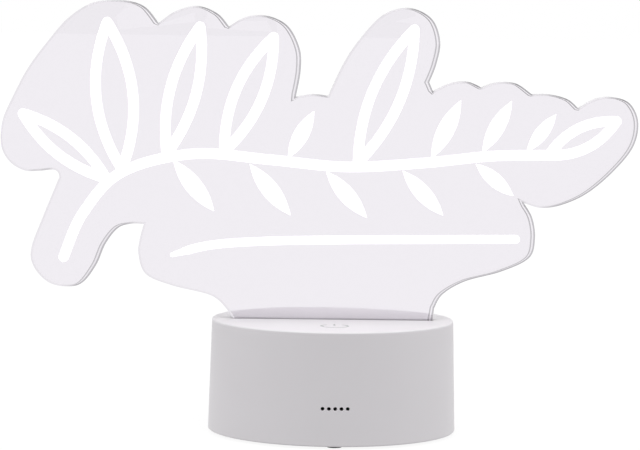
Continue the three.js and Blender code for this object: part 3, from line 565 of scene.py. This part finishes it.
# Light strip
# A strip of green board with six square lamps. Each lamp is a white resin cup, and its round
# dish is filled with a yellow resin that turns the chip's blue light white.
LAMP_COUNT = 6
LAMP_CORNER = 0.3 * MM
LAMP_EDGE = 0.15 * MM
DISH_RADIUS = 1.9 * MM
DISH_DEPTH = 0.2 * MM
BOARD_EDGE = 0.1 * MM
TRACK_WIDTH = 0.12 * MM
TRACK_LENGTH = 3.1 * MM
TRACK_PITCH = 1.3 * MM
TRACK_RISE = 0.03 * MM
MASK_GREEN = (0.013, 0.147, 0.056)


def circuit(name, colour, along):
    """A circuit board: copper tracks under a green mask, paler and raised a little. The tracks are
    the joints of a brick pattern, turned so that its bricks lie in the board's plane."""
    made, shader, add, link = new_material(name)
    place = add("TexCoord").outputs["Object"]
    turned = add("Mapping", {"Vector": place, "Rotation": along})
    tracks = add("TexBrick", {"Vector": turned.outputs["Vector"], "Scale": 1,
                              "Mortar Size": TRACK_WIDTH, "Brick Width": TRACK_LENGTH,
                              "Row Height": TRACK_PITCH, "Mortar Smooth": 0.2},
                 offset=0.37, offset_frequency=3, squash=1.6, squash_frequency=2)
    tracks.inputs["Color1"].default_value = toned(colour)
    tracks.inputs["Color2"].default_value = toned(colour, 0.9)
    tracks.inputs["Mortar"].default_value = toned(colour, 1.7)
    link(tracks.outputs["Color"], shader.inputs["Base Color"])
    weave = add("TexNoise", {"Vector": place, "Scale": 1200, "Detail": 2})
    gloss = add("MapRange", {"Value": weave.outputs["Fac"], "To Min": 0.25, "To Max": 0.4})
    link(gloss.outputs["Result"], shader.inputs["Roughness"])
    bump = add("Bump", {"Height": tracks.outputs["Fac"], "Strength": 0.8, "Distance": TRACK_RISE})
    link(bump.outputs["Normal"], shader.inputs["Normal"])
    return made


solder_mask = circuit("solder_mask", MASK_GREEN, (0, 0, 0))
lamp_cup = moulded("lamp_cup", (0.85, 0.85, 0.83), 0.35, 0.2 * MM)
phosphor = moulded("phosphor", (0.9, 0.68, 0.12), 0.3, 0.12 * MM, 0.02 * MM, 0.85)

strip = rounded_copy("led_board", "strip_board", solder_mask, BOARD_EDGE)
seat(strip, "base", "circuit_board", "led_board")
for k in range(LAMP_COUNT):
    node = f"led_{k + 1}"
    low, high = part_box(node)
    centre = ((low.x + high.x) / 2, (low.y + high.y) / 2)
    cup = slab(f"lamp_{k + 1}", round_box(high.x - low.x, high.y - low.y, LAMP_CORNER, centre), [
        (LAMP_EDGE, low.z), (0, low.z + LAMP_EDGE), (0, high.z - LAMP_EDGE), (LAMP_EDGE, high.z)],
        lamp_cup)
    dish = slab("dish", circle(DISH_RADIUS, centre), [
        (DISH_DEPTH, high.z - DISH_DEPTH), (0, high.z), (0, high.z + OVERRUN)], phosphor)
    carve(cup, [dish])
    seat(cup, "base", "led_lens", node)


# Control board
# A green board screwed to two bosses behind the tray. It carries the touch and colour chip and a
# can capacitor, whose sleeve is rolled in over the can at its foot and its top.
CAN_ROLL = 0.4 * MM
CAN_RIM = 0.5 * MM
CAN_DISH = 0.15 * MM
CAN_SIDES = 48
CHIP_EDGE = 0.2 * MM

black_resin = moulded("black_resin_moulded", (0.012, 0.012, 0.013), 0.45, 0.15 * MM)
can_metal = metal("can_metal", (0.72, 0.72, 0.73), 0.28)

main_board = rounded_copy("control_board", "main_board", solder_mask, BOARD_EDGE)
seat(main_board, "base", "circuit_board", "control_board")
for k in range(SMALL_SCREWS):
    make_screw(f"board_screw_{k + 1}")
chip = rounded_copy("touch_chip", "colour_chip", black_resin, CHIP_EDGE)
seat(chip, "base", "black_resin", "touch_chip")

low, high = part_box("capacitor")
can_radius = (high.x - low.x) / 2
can = revolved("can_capacitor", [
    (0, low.z), (can_radius - CAN_ROLL, low.z),
    *arc(can_radius - CAN_ROLL, low.z + CAN_ROLL, CAN_ROLL, -90, 0),
    (can_radius, low.z + 3 * CAN_ROLL), (can_radius - CAN_ROLL / 2, low.z + 3.5 * CAN_ROLL),
    (can_radius, low.z + 4 * CAN_ROLL),
    *arc(can_radius - CAN_ROLL, high.z - CAN_ROLL, CAN_ROLL, 0, 90),
    (can_radius - CAN_ROLL - CAN_RIM, high.z), (can_radius - CAN_ROLL - CAN_RIM, high.z - CAN_DISH),
    (0, high.z - CAN_DISH)], black_resin, ((low.x + high.x) / 2, (low.y + high.y) / 2), CAN_SIDES)
can.data.materials.append(can_metal)
for face in can.data.polygons:
    if face.center.z > high.z - 1.5 * CAN_DISH and face.normal.z > 0.9:
        face.material_index = 1
seat(can, "base", "black_resin", "capacitor")


# Charging socket
# A folded shell of tinned steel with a tongue in it, soldered to the board's rear edge and facing
# the well in the wall. Five gilt strips lie on the tongue.
SHELL_EDGE = 0.1 * MM
TONGUE_RISE = 0.3 * MM
TONGUE_RECESS = 0.7 * MM
STRIP_COUNT = 5
STRIP_PITCH = 0.65 * MM
STRIP_WIDTH = 0.34 * MM
STRIP_LENGTH = 3 * MM
STRIP_PROUD = 0.05 * MM

socket_tin = metal("socket_tin", (0.6, 0.6, 0.62), 0.25, (1, 6, 1))
gilt = metal("gilt", (0.83, 0.6, 0.22), 0.22, (1, 6, 1))

socket = rounded_copy("usb_socket", "socket_shell", socket_tin, SHELL_EDGE)
seat(socket, "base", "socket_steel", "usb_socket")
strips = []
for k in range(STRIP_COUNT):
    aside = (k - (STRIP_COUNT - 1) / 2) * STRIP_PITCH
    strip_centre = (BASE_X + aside, socket_high.y - TONGUE_RECESS - STRIP_LENGTH / 2 - STRIP_WIDTH)
    under = SOCKET_LEVEL + TONGUE_RISE
    strips.append(slab("strip", round_box(STRIP_WIDTH, STRIP_LENGTH, STRIP_WIDTH / 3, strip_centre),
                       [(STRIP_PROUD, under - STRIP_PROUD), (0, under), (0, under + STRIP_PROUD)],
                       gilt))
contacts = merged("socket_contacts", strips)
seat(contacts, "base", "contact_steel")


# Remote receiver
# A black resin receiver with a round lens, on a small board that stands in two grooved rails
# behind the five holes.
RECEIVER_EDGE = 0.25 * MM
RECEIVER_SHARP = 50

standing_mask = circuit("standing_mask", MASK_GREEN, (math.pi / 2, 0, 0))
receiver_board = rounded_copy("ir_board", "receiver_board", standing_mask, BOARD_EDGE)
seat(receiver_board, "base", "circuit_board", "ir_board")
receiver = rounded_copy("ir_receiver", "receiver_body", black_resin, RECEIVER_EDGE,
                        RECEIVER_SHARP)
seat(receiver, "base", "black_resin", "ir_receiver")


# Touch foil
# A disc of copper foil stuck under the top, below the mark, that feels a finger through the
# plastic. Its edge is clean cut.
foil_low, foil_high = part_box("touch_foil")
FOIL_EDGE = 0.05 * MM
FOIL_SIDES = 96
foil_radius = (foil_high.x - foil_low.x) / 2

copper = metal("copper_foil_rolled", (0.58, 0.26, 0.11), 0.3, (1, 12, 1), 1500)
foil = revolved("foil_disc", [
    (0, foil_low.z), (foil_radius - FOIL_EDGE, foil_low.z), (foil_radius, foil_low.z + FOIL_EDGE),
    (foil_radius, foil_high.z - FOIL_EDGE), (foil_radius - FOIL_EDGE, foil_high.z),
    (0, foil_high.z)], copper,
    ((foil_low.x + foil_high.x) / 2, (foil_low.y + foil_high.y) / 2), FOIL_SIDES)
seat(foil, "base", "copper_foil", "touch_foil")


# Cells and their contacts
# Three AA cells lie head to tail in the bay: steel cans in a film sleeve that is shrunk over
# both ends. Conical springs of nickel-plated wire press on their flat ends, and stamped plates
# join them.
CELL_COUNT = 3
SLEEVE_ROLL = 0.8 * MM
SLEEVE_LIP = 1.3 * MM
END_DISH = 0.25 * MM
NUB_RADIUS = 2.75 * MM
NUB_HEIGHT = 1 * MM
NUB_ROLL = 0.4 * MM
CELL_SIDES = 64
SPRING_TURNS = 3
SPRING_WIRE = 0.3 * MM
SPRING_WIDE = 3.4 * MM
SPRING_NARROW = 2 * MM
SPRING_STEPS = 120
WIRE_SIDES = 10
WIRE_SHARP = 60
PLATE_EDGE = 0.08 * MM

sleeve = moulded("cell_sleeve_film", (0.16, 0.19, 0.23), 0.3, 0.8 * MM, 0.02 * MM, 0.9)
sleeve.node_tree.nodes["Principled BSDF"].inputs["Metallic"].default_value = 0.6
cell_can = metal("cell_can", (0.66, 0.66, 0.67), 0.3)
nickel = metal("nickel_plate", (0.65, 0.65, 0.65), 0.25, (1, 1, 5))


def coil(name, centre, foot, head):
    """A conical spring of round wire. At share s of its length the wire's middle is at angle
    2 pi turns s, at a radius that shrinks from wide to narrow, and s of the way from foot to head;
    round it run the wire's points, some outwards and some along the axis."""
    share = np.linspace(0, 1, SPRING_STEPS + 1)[:, None]
    turned_by = 2 * np.pi * SPRING_TURNS * share
    outward = np.hstack([np.cos(turned_by), 0 * share, np.sin(turned_by)])
    middle = outward * (SPRING_WIDE + (SPRING_NARROW - SPRING_WIDE) * share)
    middle += np.array([centre[0], foot, centre[1]]) + share * [0, head - foot, 0]
    round_wire = np.arange(WIRE_SIDES) * 2 * np.pi / WIRE_SIDES
    points = (middle[:, None] + SPRING_WIRE * (np.cos(round_wire)[None, :, None] * outward[:, None]
              + np.sin(round_wire)[None, :, None] * np.array([0, 1, 0])))
    last = SPRING_STEPS * WIRE_SIDES
    ends = [list(range(WIRE_SIDES))[::-1], list(range(last, last + WIRE_SIDES))]
    return mesh_object(name, points.reshape(-1, 3),
                       grid_faces(SPRING_STEPS + 1, WIRE_SIDES) + ends, nickel, WIRE_SHARP)


for k in range(CELL_COUNT):
    node = f"battery_cell_{k + 1}"
    low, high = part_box(node)
    spring_low, spring_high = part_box(f"battery_spring_{k + 1}")
    centre = ((low.x + high.x) / 2, (low.z + high.z) / 2)
    forward = 1 if spring_low.y < low.y else -1
    tail, nose = (low.y, high.y) if forward > 0 else (high.y, low.y)
    radius = (high.x - low.x) / 2
    shoulder = nose - forward * NUB_HEIGHT
    roll = arc(0, 0, SLEEVE_ROLL, 0, 90)
    reach = radius - SLEEVE_ROLL
    profile = [
        (0, tail + forward * END_DISH), (radius - SLEEVE_LIP, tail + forward * END_DISH),
        (radius - SLEEVE_LIP, tail),
        *[(reach + r, tail + forward * (SLEEVE_ROLL - z)) for r, z in roll[::-1]],
        *[(reach + r, shoulder - forward * (SLEEVE_ROLL - z)) for r, z in roll],
        (radius - SLEEVE_LIP, shoulder), (radius - SLEEVE_LIP, shoulder - forward * END_DISH),
        (NUB_RADIUS, shoulder - forward * END_DISH), (NUB_RADIUS, nose - forward * NUB_ROLL),
        (NUB_RADIUS - NUB_ROLL, nose), (0, nose)]
    cell = revolved(f"cell_{k + 1}", profile, sleeve, centre, CELL_SIDES, "y")
    cell.data.materials.append(cell_can)
    for face in cell.data.polygons:
        middle = np.hypot(face.center.x - centre[0], face.center.z - centre[1])
        if middle < radius - SLEEVE_LIP:
            face.material_index = 1
    seat(cell, "base", "cell_sleeve", node)
    foot, head = ((spring_low.y, spring_high.y) if forward > 0 else (spring_high.y, spring_low.y))
    spring = coil(f"coil_{k + 1}", centre, foot + forward * SPRING_WIRE,
                  head - forward * SPRING_WIRE)
    seat(spring, "base", "contact_steel", f"battery_spring_{k + 1}")
for node in ("plate_positive", "plate_negative", "bridge_front", "bridge_rear"):
    plate = rounded_copy(f"battery_{node}", f"contact_{node}", nickel, PLATE_EDGE)
    seat(plate, "base", "contact_steel", f"battery_{node}")


# Leads
# Stranded wires in soft insulation join the strip, the foil, the receiver and the cells to the
# control board. The solids have their shape, so they only get their colours.
LEADS = {
    "red_pvc": ((0.45, 0.014, 0.023), ("led_lead_positive", "battery_lead_positive")),
    "black_pvc": ((0.016, 0.016, 0.018), ("led_lead_negative", "battery_lead_negative")),
    "white_pvc": ((0.78, 0.76, 0.74), ("touch_lead", "ir_lead")),
}
for name, (colour, nodes) in LEADS.items():
    pvc = moulded(name, colour, 0.35, 0.5 * MM, 0.03 * MM, 0.92)
    for node in nodes:
        for held in bpy.data.objects[node].material_slots:
            held.material = pvc


# Bottom cover
# A white ABS plate with the battery bay moulded into it, pushed into the mouth of the housing and
# held by four screws from below. Four rubber pads are glued into round seats in it.
COVER_EDGE = 0.2 * MM
PAD_ROUND = 0.3 * MM
PAD_CROWN = 0.06 * MM
PAD_SIDES = 64

rubber = moulded("pad_rubber", (0.045, 0.043, 0.046), 0.7, 0.25 * MM, 0.03 * MM, 0.8)

cover = rounded_copy("bottom_cover", "cover_moulding", white_abs, COVER_EDGE)
seat(cover, "base", "white_plastic", "bottom_cover")
for k in range(COVER_SCREWS):
    make_screw(f"cover_screw_{k + 1}")
for side in ("front", "rear", "left", "right"):
    low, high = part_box(f"foot_pad_{side}")
    pad_radius = (high.x - low.x) / 2
    pad = revolved(f"pad_{side}", [
        (0, low.z), (pad_radius / 2, low.z), (pad_radius - 2 * PAD_ROUND, low.z + PAD_CROWN / 4),
        *arc(pad_radius - PAD_ROUND, low.z + PAD_CROWN + PAD_ROUND, PAD_ROUND, -90, 0),
        (pad_radius, high.z), (0, high.z)], rubber,
        ((low.x + high.x) / 2, (low.y + high.y) / 2), PAD_SIDES)
    seat(pad, "base", "dark_rubber", f"foot_pad_{side}")


# Battery door
# A white ABS plate whose two side rails slide into grooves in the cover. Four finger grips and an
# arrow are moulded into its face.
DOOR_EDGE = 0.15 * MM
door = rounded_copy("battery_door", "door_moulding", white_abs, DOOR_EDGE)
seat(door, "door", "white_plastic", "battery_door")


# Acrylic panel
# A 5 mm sheet of clear acrylic, cut by laser round a bumpy outline, with a sprig and an
# underline engraved 0.5 mm deep into its front. Its tab stands in the slot of the base.
PANEL_WIDTH = 223 * MM
PANEL_HEIGHT = 110.8 * MM
TAB_DEPTH = 9.5 * MM
NECK_CENTRE_SHARE = 0.524
OUTLINE_STEP = 0.7 * MM
PANEL_FRONT = panel_low.y
PANEL_BACK = panel_high.y
PANEL_SHARP = 15
ACRYLIC_TINT = (0.842, 0.816, 0.858)
# The colour of the arris's painted shade where it is darkest.
ARRIS_SHADE_COLOUR = (0.05, 0.048, 0.052)

# The outline above the base, as shares of the panel's width from its left end and of its height.
# Each list is one bulge, and the next one starts at the notch where it ends.
BULGE_SHARES = [
    [(0.356, 0.031), (0.331, 0.072), (0.27, 0.102), (0.229, 0.137), (0.217, 0.2), (0.219, 0.25),
     (0.225, 0.296)],
    [(0.225, 0.296), (0.204, 0.296), (0.184, 0.281), (0.165, 0.231), (0.151, 0.165),
     (0.129, 0.107), (0.103, 0.095), (0.075, 0.109), (0.053, 0.157), (0.049, 0.215),
     (0.067, 0.316), (0.088, 0.421), (0.092, 0.446), (0.084, 0.464), (0.06, 0.46), (0.037, 0.461),
     (0.014, 0.489), (0.001, 0.54), (0.003, 0.617), (0.019, 0.694), (0.042, 0.783), (0.073, 0.869),
     (0.105, 0.943), (0.143, 0.991), (0.187, 1), (0.222, 0.982), (0.245, 0.93)],
    [(0.245, 0.93), (0.272, 0.968), (0.306, 0.985), (0.337, 0.962), (0.355, 0.922)],
    [(0.355, 0.922), (0.382, 0.953), (0.415, 0.957), (0.447, 0.926), (0.466, 0.856),
     (0.468, 0.786), (0.461, 0.704)],
    [(0.461, 0.704), (0.488, 0.713), (0.512, 0.708)],
    [(0.512, 0.708), (0.534, 0.806), (0.559, 0.885), (0.596, 0.965), (0.636, 0.988),
     (0.672, 0.955), (0.686, 0.885), (0.681, 0.815), (0.67, 0.755)],
    [(0.67, 0.755), (0.673, 0.741), (0.676, 0.727)],
    [(0.676, 0.727), (0.701, 0.752), (0.729, 0.759), (0.752, 0.741)],
    [(0.752, 0.741), (0.777, 0.758), (0.806, 0.755), (0.831, 0.722)],
    [(0.831, 0.722), (0.86, 0.722), (0.888, 0.707), (0.905, 0.679)],
    [(0.905, 0.679), (0.927, 0.706), (0.954, 0.717), (0.985, 0.698), (1, 0.638), (0.993, 0.56),
     (0.963, 0.482), (0.923, 0.412), (0.884, 0.374), (0.85, 0.362), (0.822, 0.377)],
    [(0.822, 0.377), (0.836, 0.33), (0.841, 0.264), (0.832, 0.202), (0.788, 0.158), (0.732, 0.126),
     (0.697, 0.084), (0.684, 0.04)],
]


def on_panel(shares):
    """Shares of the panel's width and height as X and Z in the frame."""
    across, upward = np.asarray(shares, float).T
    return np.stack([BASE_X + (across - NECK_CENTRE_SHARE) * PANEL_WIDTH,
                     TOP + upward * PANEL_HEIGHT], 1)


def smooth_line(corners, step=OUTLINE_STEP, fine=24):
    """An even line through points. Each span is the cubic that leaves a point with half the step
    between its neighbours as its slope; the result is spaced evenly along its length."""
    ends = np.vstack([corners[:1], corners, corners[-1:]])
    p0, p1, p2, p3 = ends[:-3], ends[1:-2], ends[2:-1], ends[3:]
    leave, arrive = (p2 - p0) / 2, (p3 - p1) / 2
    t = np.arange(fine)[:, None, None] / fine
    spans = ((2 * p1 - 2 * p2 + leave + arrive) * t ** 3
             + (3 * p2 - 3 * p1 - 2 * leave - arrive) * t ** 2 + leave * t + p1)
    line = np.vstack([spans.transpose(1, 0, 2).reshape(-1, 2), corners[-1:]])
    return evenly(line, step)


def evenly(line, step=OUTLINE_STEP):
    """The same line with its points spaced evenly, about a step apart."""
    reach = np.r_[0, np.cumsum(np.linalg.norm(np.diff(line, axis=0), axis=1))]
    where = np.linspace(0, reach[-1], max(2, math.ceil(reach[-1] / step) + 1))
    return np.stack([np.interp(where, reach, line[:, k]) for k in (0, 1)], 1)


TAB_BOTTOM = TOP - TAB_DEPTH
tab_left, tab_right = BASE_X - TAB_WIDTH / 2, BASE_X + TAB_WIDTH / 2
panel_outline = np.vstack([
    [[tab_left, TAB_BOTTOM], [tab_left, TOP]],
    *[smooth_line(on_panel(shares))[:-1] for shares in BULGE_SHARES],
    on_panel(BULGE_SHARES[-1][-1:]),
    [[tab_right, TOP], [tab_right, TAB_BOTTOM]]])[::-1]

# The sprig in the same shares: a leaf is its start, its end and how far its sides bow out.
STEM_SHARES = [
    (0.1, 0.19), (0.13, 0.33), (0.19, 0.46), (0.3, 0.52), (0.42, 0.505), (0.54, 0.485),
    (0.66, 0.5), (0.77, 0.525), (0.86, 0.53)]
BIG_LEAF_SHARES = [
    ((0.165, 0.44), (0.035, 0.64), 0.2), ((0.19, 0.47), (0.165, 0.93), 0.25),
    ((0.26, 0.52), (0.31, 0.92), 0.2), ((0.35, 0.53), (0.425, 0.89), 0.22),
    ((0.56, 0.5), (0.645, 0.92), 0.2), ((0.86, 0.53), (0.965, 0.64), 0.28)]
SMALL_LEAF_SHARES = [
    ((0.45, 0.51), (0.49, 0.66), 0.28), ((0.675, 0.515), (0.72, 0.7), 0.26),
    ((0.755, 0.535), (0.8, 0.7), 0.26), ((0.825, 0.54), (0.87, 0.66), 0.28),
    ((0.27, 0.5), (0.335, 0.34), 0.26), ((0.39, 0.49), (0.455, 0.33), 0.26),
    ((0.51, 0.47), (0.575, 0.325), 0.26), ((0.63, 0.475), (0.695, 0.335), 0.26),
    ((0.745, 0.5), (0.805, 0.4), 0.28)]
UNDERLINE_SHARES = [
    (0.27, 0.2), (0.33, 0.232), (0.42, 0.247), (0.55, 0.254), (0.68, 0.258), (0.81, 0.262)]
STROKE_WIDTH = 3.6 * MM
UNDERLINE_WIDTH = 3 * MM
UNDERLINE_TAPER_SHARE = 0.1
GROOVE_DEPTH = 0.5 * MM
GROOVE_LEAN = 0.12 * MM
LEAF_POINTS = 41
# How strongly the engraving glows, as painted light.
PAINTED_FROST_GLOW = 0.55


def leaf_sides(start, end, bow):
    """The two sides of a leaf: from its stalk to its point, each a parabola bowed aside by a share
    of the leaf's length."""
    start, end = on_panel([start, end])
    across = np.array([start[1] - end[1], end[0] - start[0]]) * bow
    t = np.linspace(0, 1, LEAF_POINTS)[:, None]
    return [(1 - t) ** 2 * start + 2 * t * (1 - t) * ((start + end) / 2 + across * side)
            + t ** 2 * end for side in (1, -1)]


def groove(outline):
    """The tool that cuts one stroke, with its walls leaning in towards the floor."""
    return slab("groove", outline, [
        (0, PANEL_FRONT - OVERRUN), (0, PANEL_FRONT),
        (GROOVE_LEAN, PANEL_FRONT + GROOVE_DEPTH)], frosted_painted_glow, "y")


def clear(name, colour, low_gloss, high_gloss, scale=60, stretch=(1, 1, 1)):
    """Clear acrylic: it lets light through and bends it, with faint unevenness in its polish."""
    made, shader, add, link = new_material(name)
    place = add("TexCoord").outputs["Object"]
    drawn = add("Mapping", {"Vector": place, "Scale": stretch})
    haze = add("TexNoise", {"Vector": drawn.outputs["Vector"], "Scale": scale, "Detail": 4})
    gloss = add("MapRange", {"Value": haze.outputs["Fac"], "From Min": 0.35, "From Max": 0.75,
                             "To Min": low_gloss, "To Max": high_gloss})
    link(gloss.outputs["Result"], shader.inputs["Roughness"])
    shader.inputs["Base Color"].default_value = toned(colour)
    shader.inputs["Transmission Weight"].default_value = 1
    shader.inputs["IOR"].default_value = 1.49
    return made


acrylic = clear("acrylic", ACRYLIC_TINT, 0.004, 0.02)
cut_edge = clear("cut_edge", (0.82, 0.795, 0.835), 0.02, 0.06, 900, (1, 0.05, 1))

# The arris is the narrow turn between two slopes. It is painted greyer where it faces right: a
# painted shade that stands in for the darker surroundings seen through the edge. A point attribute
# says how much.
arris = clear("arris", ACRYLIC_TINT, 0.03, 0.08, 900, (1, 0.05, 1))
add, link = builder(arris.node_tree)
shaded_arris = add("Mix", {"Factor": add("Attribute", attribute_name="edge_shade").outputs["Fac"]},
            data_type="RGBA")
shaded_arris.inputs["A"].default_value = toned(ACRYLIC_TINT)
shaded_arris.inputs["B"].default_value = toned(ARRIS_SHADE_COLOUR)
link(shaded_arris.outputs["Result"], arris.node_tree.nodes["Principled BSDF"].inputs["Base Color"])

# The engraving is rough and white all through, and its fine raster runs level. It also glows a
# little, a painted light that keeps it bright white though it is no lamp.
frosted_painted_glow, shader, add, link = new_material("frosted_painted_glow")
place = add("TexCoord").outputs["Object"]
raster = add("TexWave", {"Vector": place, "Scale": 900, "Distortion": 0.6, "Detail": 1,
                         "Detail Scale": 2}, bands_direction="Z")
crystals = add("TexNoise", {"Vector": place, "Scale": 3000, "Detail": 3})
height = add("Mix", {"Factor": 0.5, "A": raster.outputs["Fac"], "B": crystals.outputs["Fac"]})
bump = add("Bump", {"Height": height.outputs["Result"], "Strength": 0.5, "Distance": 0.02 * MM})
link(bump.outputs["Normal"], shader.inputs["Normal"])
gloss = add("MapRange", {"Value": crystals.outputs["Fac"], "To Min": 0.5, "To Max": 0.7})
link(gloss.outputs["Result"], shader.inputs["Roughness"])
shader.inputs["Base Color"].default_value = toned((0.93, 0.92, 0.94))
shader.inputs["Emission Color"].default_value = (1, 0.99, 1, 1)
shader.inputs["Emission Strength"].default_value = PAINTED_FROST_GLOW

# The laser's cut leans, so the edge turns into the front by a slope between two narrow arrises.
# It is widest where the outline faces right. Each pair is an inset and a depth in millimetres.
NARROW_SLOPES = [(0.66, 0), (0.5, 0.06), (0.45, 0.1), (0, 0.5)]
WIDE_SLOPES = [(1.75, 0), (1.29, 0.09), (0.65, 0.5), (0, 1)]
BACK_SLOPES = [(0, 0.3), (0.3, 0)]
LEAN_GAIN = 1.25
LEAN_START = 0.25
inward = inset(panel_outline, 1 * MM) - panel_outline
facing = -inward / np.linalg.norm(inward, axis=1)[:, None]
rightward, upward = facing.T
lean = np.clip(LEAN_GAIN * rightward - LEAN_START, 0, 1)
narrow, wide = np.array(NARROW_SLOPES) * MM, np.array(WIDE_SLOPES) * MM
front_rings = narrow[..., None] + (wide - narrow)[..., None] * lean
panel = slab("panel_sheet", panel_outline, [
    *[(amount, PANEL_FRONT + depth) for amount, depth in front_rings],
    *[(amount, PANEL_BACK - depth) for amount, depth in np.array(BACK_SLOPES) * MM]],
    acrylic, "y", PANEL_SHARP)
panel.data.materials.append(cut_edge)
panel.data.materials.append(arris)
FACE, CUT, ARRIS = range(3)
ring_faces = np.repeat([ARRIS, CUT, ARRIS, CUT, ARRIS], len(panel_outline))
panel.data.polygons.foreach_set("material_index", np.r_[ring_faces, FACE, FACE])

# The painted shade on the arris is faint on the left, a bit stronger above, and strongest on the
# right and its slanting parts.
SHADE_LEFT = 0.17
SHADE_ABOVE = 0.6
SHADE_RIGHT = 0.49
SHADE_SLANT = 0.2
SHADE_START = 0.11
SHADE_SPAN = 0.36
darker = np.clip((rightward + SHADE_START) / SHADE_SPAN, 0, 1)
edge_shade_amount = (SHADE_LEFT * (1 + SHADE_ABOVE * upward) + (SHADE_RIGHT + SHADE_SLANT * upward ** 2) * darker)
edge_shade = panel.data.attributes.new("edge_shade", "FLOAT", "POINT")
edge_shade.data.foreach_set("value", np.tile(edge_shade_amount, len(front_rings) + len(BACK_SLOPES)))

strokes = [ribbon(smooth_line(on_panel(STEM_SHARES)), STROKE_WIDTH / 2)]
underline = smooth_line(on_panel(UNDERLINE_SHARES))
grown = np.linspace(0, 1, len(underline)) / UNDERLINE_TAPER_SHARE + 0.5
strokes.append(ribbon(underline, UNDERLINE_WIDTH / 2 * np.minimum(1, grown)))
for leaf in BIG_LEAF_SHARES:
    strokes += [ribbon(evenly(side), STROKE_WIDTH / 2) for side in leaf_sides(*leaf)]
for leaf in SMALL_LEAF_SHARES:
    near, far = (evenly(side) for side in leaf_sides(*leaf))
    strokes.append(np.vstack([near, far[1:-1][::-1]]))
carve(panel, [merged("engraving", [groove(outline) for outline in strokes])], sharp=PANEL_SHARP)
seat(panel, "panel", "clear_acrylic", "acrylic_panel")


# Floor, background and light
# A plain pale sheet runs under and behind the lamp, lit by a broad soft light from above and a
# weaker one from each side. The sheet and the air beyond it are white where they are seen, also in
# or through the acrylic.
AMBIENT = 0.52
OVERHEAD = 1.4
OVERHEAD_SPREAD = 60
OVERHEAD_TILT = 12
SIDE = 0.45
SIDE_SPREAD = 60
SIDE_TILT = 65
FLOOR_COLOUR = 0.13
FLOOR_GRAIN = 0.01
FLOOR_BOUNCE = 0.304
FLOOR_GLOW = 0.894
FLOOR_HALF = 20


def seen(add):
    """1 for a ray from the camera or off or through glass, unless it left a dull surface before."""
    path = add("LightPath").outputs
    direct = add("Math", {0: path["Is Camera Ray"], 1: path["Is Glossy Ray"]},
                 operation="MAXIMUM")
    direct = add("Math", {0: direct.outputs[0], 1: path["Is Transmission Ray"]},
                 operation="MAXIMUM")
    return add("Math", {0: direct.outputs[0], 1: path["Diffuse Depth"]},
               operation="SUBTRACT", use_clamp=True).outputs[0]


paper, shader, add, link = new_material("paper")
paper.node_tree.nodes.remove(shader)
strength = add("MapRange", {"Value": seen(add), "To Min": FLOOR_BOUNCE, "To Max": FLOOR_GLOW})
lift = add("Emission", {"Color": toned((1, 1, 1)), "Strength": strength.outputs["Result"]})
fibre = add("TexNoise", {"Vector": add("TexCoord").outputs["Object"], "Scale": 400, "Detail": 3})
tone = add("MapRange", {"Value": fibre.outputs["Fac"], "To Min": FLOOR_COLOUR - FLOOR_GRAIN,
                        "To Max": FLOOR_COLOUR + FLOOR_GRAIN})
matt = add("BsdfDiffuse", {"Color": tone.outputs["Result"]})
both = add("AddShader", {0: matt.outputs[0], 1: lift.outputs[0]})
under = add("Math", {0: add("NewGeometry").outputs["Backfacing"],
                     1: add("LightPath").outputs["Is Camera Ray"]}, operation="MULTIPLY")
one_way = add("MixShader", {0: under.outputs[0], 1: both.outputs[0],
                            2: add("BsdfTransparent").outputs[0]})
link(one_way.outputs[0], paper.node_tree.nodes["Material Output"].inputs["Surface"])
corners = np.array([[-1, -1, 0], [1, -1, 0], [1, 1, 0], [-1, 1, 0]], float) * FLOOR_HALF
floor = mesh_object("floor", corners, [[0, 1, 2, 3]], paper)
floor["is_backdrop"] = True

world = bpy.data.worlds.new("studio")
world.use_nodes = True
bpy.context.scene.world = world
add, link = builder(world.node_tree)
level = add("MapRange", {"Value": seen(add), "To Min": AMBIENT, "To Max": 1})
back = world.node_tree.nodes["Background"]
back.inputs["Color"].default_value = toned((1, 1, 1))
link(level.outputs["Result"], back.inputs["Strength"])

for name, energy, spread, turned_by in (
        ("overhead", OVERHEAD, OVERHEAD_SPREAD, (OVERHEAD_TILT, 0)),
        ("left", SIDE, SIDE_SPREAD, (0, -SIDE_TILT)), ("right", SIDE, SIDE_SPREAD, (0, SIDE_TILT))):
    light = bpy.data.lights.new(name, "SUN")
    light.energy = energy
    light.angle = math.radians(spread)
    lamp = bpy.data.objects.new(name, light)
    lamp.rotation_euler = (math.radians(turned_by[0]), math.radians(turned_by[1]), 0)
    bpy.context.scene.collection.objects.link(lamp)

bpy.context.scene.view_settings.view_transform = "Standard"

low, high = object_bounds()
